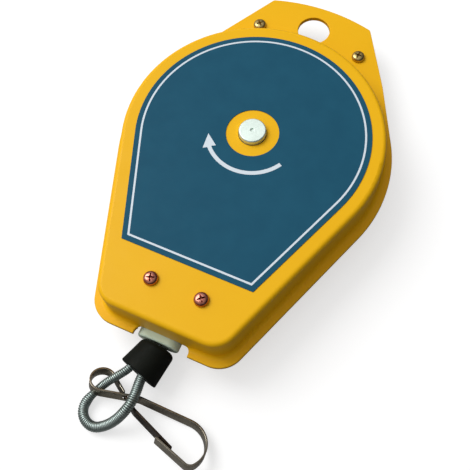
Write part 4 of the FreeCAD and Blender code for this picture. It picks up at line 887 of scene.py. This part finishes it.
@dataclass
class Fasteners:
    """Cross-recessed screws, their nuts and the spacer posts.

    Sizes are millimetres. `rim` is the share of the head's height that stands straight.
    """

    head: float = 3.0
    height: float = 2.2
    shank: float = 1.5
    arm: float = 1.75
    arm_width: float = 0.62
    recess: float = 1.5
    rim: float = 0.3
    dome_power: float = 0.55
    thread_pitch: float = 0.5
    thread_wire: float = 0.17
    thread_sink: float = 0.1
    flats: float = 5.5
    nut: float = 2.4
    nut_corner: float = 0.42

    def screw_form(self, name: str, length: float) -> bpy.types.Object:
        """Pan head with a smooth dome over a plain shank.

        Args:
            name: the form's name.
            length: shank below the seat in millimetres.

        Returns:
            The closed form, seat at its origin.
        """
        angles = [math.radians(d) for d in (0, 12, 25, 38, 50, 62, 74, 84)]
        dome = [(self.head * math.cos(a) ** self.dome_power,
                 self.height * (self.rim + (1 - self.rim) * math.sin(a))) for a in angles]
        shank = [(0, -length), (0.8 * self.shank, -length), (self.shank, -length + 0.3), (self.shank, 0)]
        seat = [(0.94 * self.head, 0), (self.head, 0.12 * self.height)]
        return lathe(name, shank + seat + dome + [(0, self.height)], 48)

    def cross_tool(self) -> bpy.types.Object:
        """Tapered cross that sinks the driver recess.

        Returns:
            The closed form, on the screw's axis.
        """
        outline, points, faces = [], [], []
        arm, half = self.arm, self.arm_width / 2
        corner = (1.35 * half, 1.35 * half)
        ends = [(half, 0.55 * arm), (0.8 * half, arm), (-0.8 * half, arm), (-half, 0.55 * arm)]
        for quarter in range(4):
            turn = Matrix.Rotation(quarter * math.pi / 2, 3, "Z")
            outline += [turn @ Vector((x, y, 0)) for x, y in [corner, *ends]]
        count = len(outline)
        for level, share in ((self.height + 0.4, 1.12), (self.height - 0.45 * self.recess, 0.86),
                             (self.height - self.recess, 0.3)):
            points += [(p.x * share * MM, p.y * share * MM, level * MM) for p in outline]
        for low in (0, count):
            for i in range(count):
                j = (i + 1) % count
                faces.append((low + i, low + j, low + count + j, low + count + i))
        faces.append(tuple(range(count)))
        faces.append(tuple(reversed(range(2 * count, 3 * count))))
        tool = new_piece("cross_tool", points, faces)
        smooth_by_angle(tool, 20)
        return tool

    def centres(self, node: str, level: float) -> bpy.types.Object:
        """Mesh of points at the two solids of a node.

        Args:
            node: a node whose two solids lie left and right of each other.
            level: Z of the points.

        Returns:
            The point mesh as an object.
        """
        low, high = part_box(node)
        half, y = (high.y - low.y) / 2, (high.y + low.y) / 2
        return new_piece(node + "_spots", [(low.x + half, y, level), (high.x - half, y, level)], [])

    def build(self) -> None:
        """Plant screws and nuts on their seats."""
        sunk = planted_tree("sunk_form", Cut.SINK)
        tool = self.cross_tool()
        for node, finish, seed in (("tab_screws", ZINC, 5), ("foot_screws", COPPERY, 2)):
            low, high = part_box(node)
            seat = high.z - self.height * MM
            form = self.screw_form(node + "_form", (seat - low.z) / MM)
            piece = grow(node + "_driven", self.centres(node, seat), sunk, {
                "Form": form, "Tool": tool, "Turn step": 1.5, "Seed": seed, "Finish": finish.build(),
            })
            smooth_by_angle(piece, 32)
            finish_piece(piece, "case", (node,))
            bpy.data.objects.remove(form)
        bpy.data.objects.remove(tool)
        self.build_nuts()
        self.build_threads()
        dress("spacer_posts", PLATED)

    def build_nuts(self) -> None:
        """Chamfered hexagon nuts on the back of the tab."""
        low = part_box("tab_nuts")[0]
        tip, bore, rise, corner = self.flats / math.sqrt(3), self.shank + 0.12, self.nut, self.nut_corner
        points = ring_points(tip, 0, 6) + ring_points(tip, rise, 6)
        faces = [(i, (i + 1) % 6, 6 + (i + 1) % 6, 6 + i) for i in range(6)]
        faces += [tuple(reversed(range(6))), tuple(range(6, 12))]
        hexagon = new_piece("nut_form", points, faces)
        lens = lathe("nut_lens", [
            (bore, 0.25), (bore + 0.3, -0.01), (0.86 * tip, -0.01), (tip + 0.02, corner),
            (tip + 0.02, rise - corner), (0.86 * tip, rise + 0.01), (bore + 0.3, rise + 0.01),
            (bore, rise - 0.25), (bore, 0.25)], 48)
        struck = planted_tree("struck_form", Cut.STRIKE)
        piece = grow("tab_nuts_turned", self.centres("tab_nuts", low.z), struck, {
            "Form": hexagon, "Tool": lens, "Turn step": 0.9, "Seed": 3, "Finish": ZINC.build(),
        })
        smooth_by_angle(piece, 25)
        finish_piece(piece, "case", ("tab_nuts",))
        for form in (hexagon, lens):
            bpy.data.objects.remove(form)

    def build_threads(self) -> None:
        """Thread on the tab screws' ends that stand out of the nuts."""
        low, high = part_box("tab_screws")
        half, y = (high.y - low.y) / 2, (high.y + low.y) / 2
        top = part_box("tab_nuts")[1].z
        turns = (top - low.z) / MM / self.thread_pitch
        thread = Winding(wires=1, turns=turns, lay=self.shank - self.thread_sink, wire=self.thread_wire,
                         rings=int(turns * 20), sides=5, finish=ZINC)
        ends = []
        for x in (low.x + half, high.x - half):
            line = new_curve("thread_line", Run.STRAIGHT, ((x, y, low.z + 0.3 * MM), (x, y, top)))
            ends.append(thread.along("thread", line))
        finish_piece(join("tab_threads", ends), "case")


@dataclass
class SpringDrive:
    """Axle, bearings, ratchet, drum and spring.

    `edges` gives the width of a part's broken edges. `coil_side` and `arm_tip` are not used. All are
    millimetres.
    """

    finishes: dict[str, Finish] = field(default_factory=lambda: {
        "axle": BRIGHT, "axle_clip": BLUED, "front_bearing": BRONZE, "rear_bearing": BRONZE,
        "ratchet_wheel": PLATED, "pawl": PLATED, "pawl_rivets": BRIGHT, "pawl_spring": BLUED,
        "drum": CASTING, "drum_lid": CASTING, "spiral_spring": BLUED, "spring_rivet": PLATED,
        "wound_rope": ROPE, "rope_lead": ROPE,
    })
    edges: dict[str, float] = field(default_factory=lambda: {
        "axle": 0.12, "ratchet_wheel": 0.1, "pawl": 0.15, "pawl_rivets": 0.15, "rear_bearing": 0.15,
    })
    coil_side: Point = (21.5, -0.8, 2.0)
    arm_tip: Point = (15.8, 4.0, 2.0)

    def build(self) -> None:
        """Dress each part of the drive."""
        for node, finish in self.finishes.items():
            piece = dress(node, finish)
            if node in self.edges:
                soften(piece, self.edges[node])
        self.flex_pawl_spring()

    def flex_pawl_spring(self) -> None:
        """Copy the pawl spring's mesh into a piece of its own at the world's origin and hide the node."""
        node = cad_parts["pawl_spring"]
        piece = stand("pawl_spring_flexing", node.data.copy())
        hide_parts("pawl_spring")
        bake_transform(piece)


@dataclass
class RopeExit:
    """Nylon guide, rope, ferrule and rubber stopper.

    Sizes and places are millimetres; `rope` is the rope's radius. `clamped` is not used.
    """

    leave: Point = (-0.4, -93.7, 11.0)
    enter: Point = (-0.9, -98.2, 10.4)
    rope: float = 1.0
    clamped: float = 0.03
    guide_edge: float = 0.25
    stopper_edge: float = 0.2

    def build(self) -> None:
        """Dress the parts at the casing's mouth."""
        soften(dress("rope_guide", NYLON), self.guide_edge)
        soften(dress("rubber_stopper", RUBBER), self.stopper_edge)
        dress("rope_ferrule", PLATED)
        self.build_payout()

    def build_payout(self) -> None:
        """Straight rope between the guide and the stopper, in place of the payout node."""
        start, end = metres(self.leave), metres(self.enter)
        rope = Winding(wires=1, turns=0.0, lay=0.0, wire=self.rope, rings=25, sides=24,
                       finish=DRAWN_ROPE)
        piece = rope.along("payout_rope", new_curve("payout_line", Run.STRAIGHT, (start, end)))
        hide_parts("rope_payout")
        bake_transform(piece)


@dataclass
class HangerLoop:
    """Cable loop that carries the hook, with the close-wound guard over it.

    Sizes are millimetres; `cable`, `guard` and `guard_wire` are radii. The guard runs between the
    shares `guard_ends` of the loop. Up to `leg_end` of it, on the leg in the hook's eye, it keeps only
    `leg_share` of its lay, and it is full from `full_from`.
    """

    route: tuple[Point, ...] = (
        (-5.9, -102.6, 10.5), (-7.1, -106.9, 10.6), (-10.4, -111.2, 9.8), (-13.9, -115.2, 7.6),
        (-16.8, -118.6, 3.9), (-18.6, -122.6, 3.6), (-19.5, -126.2, 2.7), (-18.7, -129.4, 2.3),
        (-16.0, -132.0, 2.3), (-11.7, -132.9, 2.6), (-7.3, -130.5, 4.2), (-3.5, -126.9, 7.6),
        (-1.1, -122.8, 10.9), (0.0, -118.9, 11.9), (-0.2, -114.5, 11.6), (-1.3, -108.1, 10.9),
        (-0.9, -103.9, 10.6))
    cable: float = 1.0
    strands: int = 12
    guard: float = 2.15
    guard_wire: float = 0.48
    guard_pitch: float = 0.84
    guard_ends: tuple[float, float] = (0.012, 0.988)
    leg_share: float = 0.775
    leg_end: float = 0.305
    full_from: float = 0.37

    def line(self) -> bpy.types.Object:
        """Draw the loop's middle line as one smooth open curve.

        Returns:
            The curve's object.
        """
        curve = new_curve("loop_line", Run.ROUNDED, [metres(place) for place in self.route])
        curve.data.resolution_u = 16
        curve.data.splines[0].order_u = 3
        curve.data.splines[0].use_endpoint_u = True
        return curve

    def path(self) -> list[Vector]:
        """Follow the middle line.

        Returns:
            Close points along it, in metres.
        """
        line = self.line()
        traced = bpy.data.meshes.new_from_object(line)
        points = [v.co.copy() for v in traced.vertices]
        bpy.data.meshes.remove(traced)
        bpy.data.objects.remove(line)
        return points

    def lay_cable(self, length: float) -> bpy.types.Object:
        """Lay the outer wires round a core.

        Args:
            length: the cable's length in millimetres.

        Returns:
            The cable's piece.
        """
        half_step = math.sin(math.pi / self.strands)
        wire = self.cable * half_step / (1 + half_step)
        outer = Winding(wires=self.strands, turns=length / LAY, lay=self.cable - wire,
                        wire=1.03 * wire, rings=220, sides=7, finish=ROPE)
        core = Winding(wires=1, turns=0.0, lay=0.0, wire=self.cable - 1.2 * wire, rings=160,
                       sides=14, finish=ROPE)
        return join("hanger_cable_laid", [outer.along("outer_wires", self.line()),
                                          core.along("core_wire", self.line())])

    def wind_guard(self, length: float) -> bpy.types.Object:
        """Wind the guard's wire over the cable, closer to it on the leg in the hook's eye.

        Args:
            length: the cable's length in millimetres.

        Returns:
            The guard's piece.
        """
        turns = length / self.guard_pitch
        start, end = self.guard_ends
        guard = Winding(wires=1, turns=turns, lay=self.guard - self.guard_wire, wire=self.guard_wire,
                        rings=int(turns * 24), sides=8, finish=SLEEVE, start=start, end=end,
                        start_share=self.leg_share, start_to=self.leg_end, full_from=self.full_from)
        return guard.along("loop_guard", self.line())

    def build(self) -> None:
        path = self.path()
        length = sum((b - a).length for a, b in zip(path, path[1:]))
        cable = self.lay_cable(length / MM)
        guard = self.wind_guard(length / MM)
        finish_piece(cable, "rope_end", ("hanger_cable",))
        finish_piece(guard, "rope_end", ("loop_sleeve",))


@dataclass
class SnapHook:
    """Folded strip hook and its spring gate, the gate in the hook's steel darkened as painted shade;
    `edge` is the width of their broken edges.
    """

    edge: float = 0.14
    finishes: dict[str, Finish] = field(default_factory=lambda: {
        "snap_hook": HOOK, "hook_gate": PAINTED_SHADE_GATE,
    })

    def build(self) -> None:
        """Dress the hook and the gate and break the strip's sheared edges."""
        for node, finish in self.finishes.items():
            soften(dress(node, finish), self.edge)


@dataclass
class Studio:
    """Camera, floor and soft light.

    The eye, the lens and the gap under the part are millimetres; the lamp and the floor are metres.
    `light` is the sky's strength and `mirrored` what reflections get of it.
    """

    eye: Point = (69.50, -142.08, 289.28)
    right: Point = (0.91057, 0.41056, -0.04792)
    down: Point = (0.35988, -0.84447, -0.39667)
    ahead: Point = (-0.20332, 0.34396, -0.91671)
    lens: float = 54.34
    light: float = 0.89
    mirrored: float = 0.76
    bright_side: Point = (-0.50, 0.02, 0.866)
    dim_side: float = 0.08
    lamp_at: Point = (-0.95, 0.15, 1.30)
    lamp_aim: Point = (0.0, -0.02, 0.01)
    lamp_power: float = 15.0
    lamp_side: float = 0.90
    floor_half: float = 3.0
    floor_gap: float = 0.05
    floor_lit: float = 0.3
    floor_seen: float = 0.48
    floor_glow: float = 0.62

    def build(self) -> None:
        """Set up the view, the pale floor, the sky and the lamp."""
        self.camera()
        self.floor()
        self.sky()
        self.lamp()

    def camera(self) -> None:
        """Place the camera at the view's angle."""
        lens = bpy.data.cameras.new("view")
        lens.lens, lens.sensor_width, lens.clip_start = self.lens, 36.0, 0.01
        camera = stand("view", lens)
        rows = Matrix((self.right, tuple(-c for c in self.down), tuple(-c for c in self.ahead)))
        camera.matrix_world = Matrix.Translation(Vector(self.eye) * MM) @ rows.transposed().to_4x4()
        bpy.context.scene.camera = camera

    def floor(self) -> None:
        """Pale floor that keeps the shadow, throws back little light and is clear from below."""
        half, level = self.floor_half, -self.floor_gap * MM
        corners = [(x * half, y * half, level) for x, y in ((-1, -1), (1, -1), (1, 1), (-1, 1))]
        piece = new_piece("floor", corners, [(0, 1, 2, 3)])
        material = bpy.data.materials.new("floor")
        material.use_nodes = True
        board = NodeBoard(material.node_tree)
        shader = material.node_tree.nodes["Principled BSDF"]
        shader.inputs["Roughness"].default_value = 0.9
        shader.inputs["Specular IOR Level"].default_value = 0.1
        shader.inputs["Emission Color"].default_value = (1.0, 1.0, 1.0, 1.0)
        seen = self.seen(board)
        grey = board.tones(seen, (*[self.floor_lit] * 3, 1.0), (*[self.floor_seen] * 3, 1.0))
        board.tree.links.new(grey, shader.inputs["Base Color"])
        glow = board.math("MULTIPLY", seen, self.floor_glow)
        board.tree.links.new(glow, shader.inputs["Emission Strength"])
        output = material.node_tree.nodes["Material Output"]
        below = board.add("ShaderNodeNewGeometry").outputs["Backfacing"]
        clear = board.add("ShaderNodeBsdfTransparent").outputs[0]
        side = board.add("ShaderNodeMixShader", {0: below, 1: shader.outputs[0], 2: clear}).outputs[0]
        board.tree.links.new(side, output.inputs["Surface"])
        piece.data.materials.append(material)

    def seen(self, board: NodeBoard) -> bpy.types.NodeSocket:
        """Share that is 1 where a view shows the surroundings, straight or through a clear part."""
        path = board.add("ShaderNodeLightPath").outputs
        return board.math("MAXIMUM", path["Is Camera Ray"], path["Is Transmission Ray"])

    def sky(self) -> None:
        """Even pale surroundings, white where they are seen, dimmer towards the lower right."""
        world = bpy.data.worlds.new("surroundings")
        world.use_nodes = True
        board = NodeBoard(world.node_tree)
        background = world.node_tree.nodes["Background"]
        plain = self.seen(board)
        mirrored = board.add("ShaderNodeLightPath").outputs["Is Glossy Ray"]
        less = board.math("MULTIPLY", mirrored, self.light - self.mirrored)
        strength = board.math("SUBTRACT", self.light, less)
        strength = board.math("SUBTRACT", strength, board.math("MULTIPLY", plain, self.light - 1.0))
        way = board.add("ShaderNodeTexCoord").outputs["Generated"]
        side = board.vector("DOT_PRODUCT", way, self.bright_side, out="Value")
        shade = board.span(side, (0.2, 0.95), (self.dim_side, 1.0), interpolation_type="SMOOTHSTEP")
        board.tree.links.new(board.math("MULTIPLY", strength, board.math("MAXIMUM", shade, plain)),
                             background.inputs["Strength"])
        background.inputs["Color"].default_value = (1.0, 1.0, 1.0, 1.0)
        bpy.context.scene.world = world

    def lamp(self) -> None:
        """Square soft lamp that looks at the middle of the object."""
        light = bpy.data.lights.new("key", "AREA")
        light.energy, light.size = self.lamp_power, self.lamp_side
        lamp = stand("key", light)
        aim = Vector(self.lamp_aim) - Vector(self.lamp_at)
        turn = aim.to_track_quat("-Z", "Y").to_matrix().to_4x4()
        lamp.matrix_world = Matrix.Translation(self.lamp_at) @ turn


def main() -> None:
    """Build each sub-assembly in order and the studio round them."""
    logging.basicConfig(level=logging.INFO, format="%(name)s: %(message)s")
    bpy.context.scene.view_settings.view_transform = "Standard"
    assemblies = (Studio(), HangerLoop(), Casing(), FacePlate(), Fasteners(), SpringDrive(),
                  RopeExit(), SnapHook())
    for assembly in assemblies:
        assembly.build()
        LOG.info("finished %s", type(assembly).__name__)


if __name__ == "__main__":
    main()
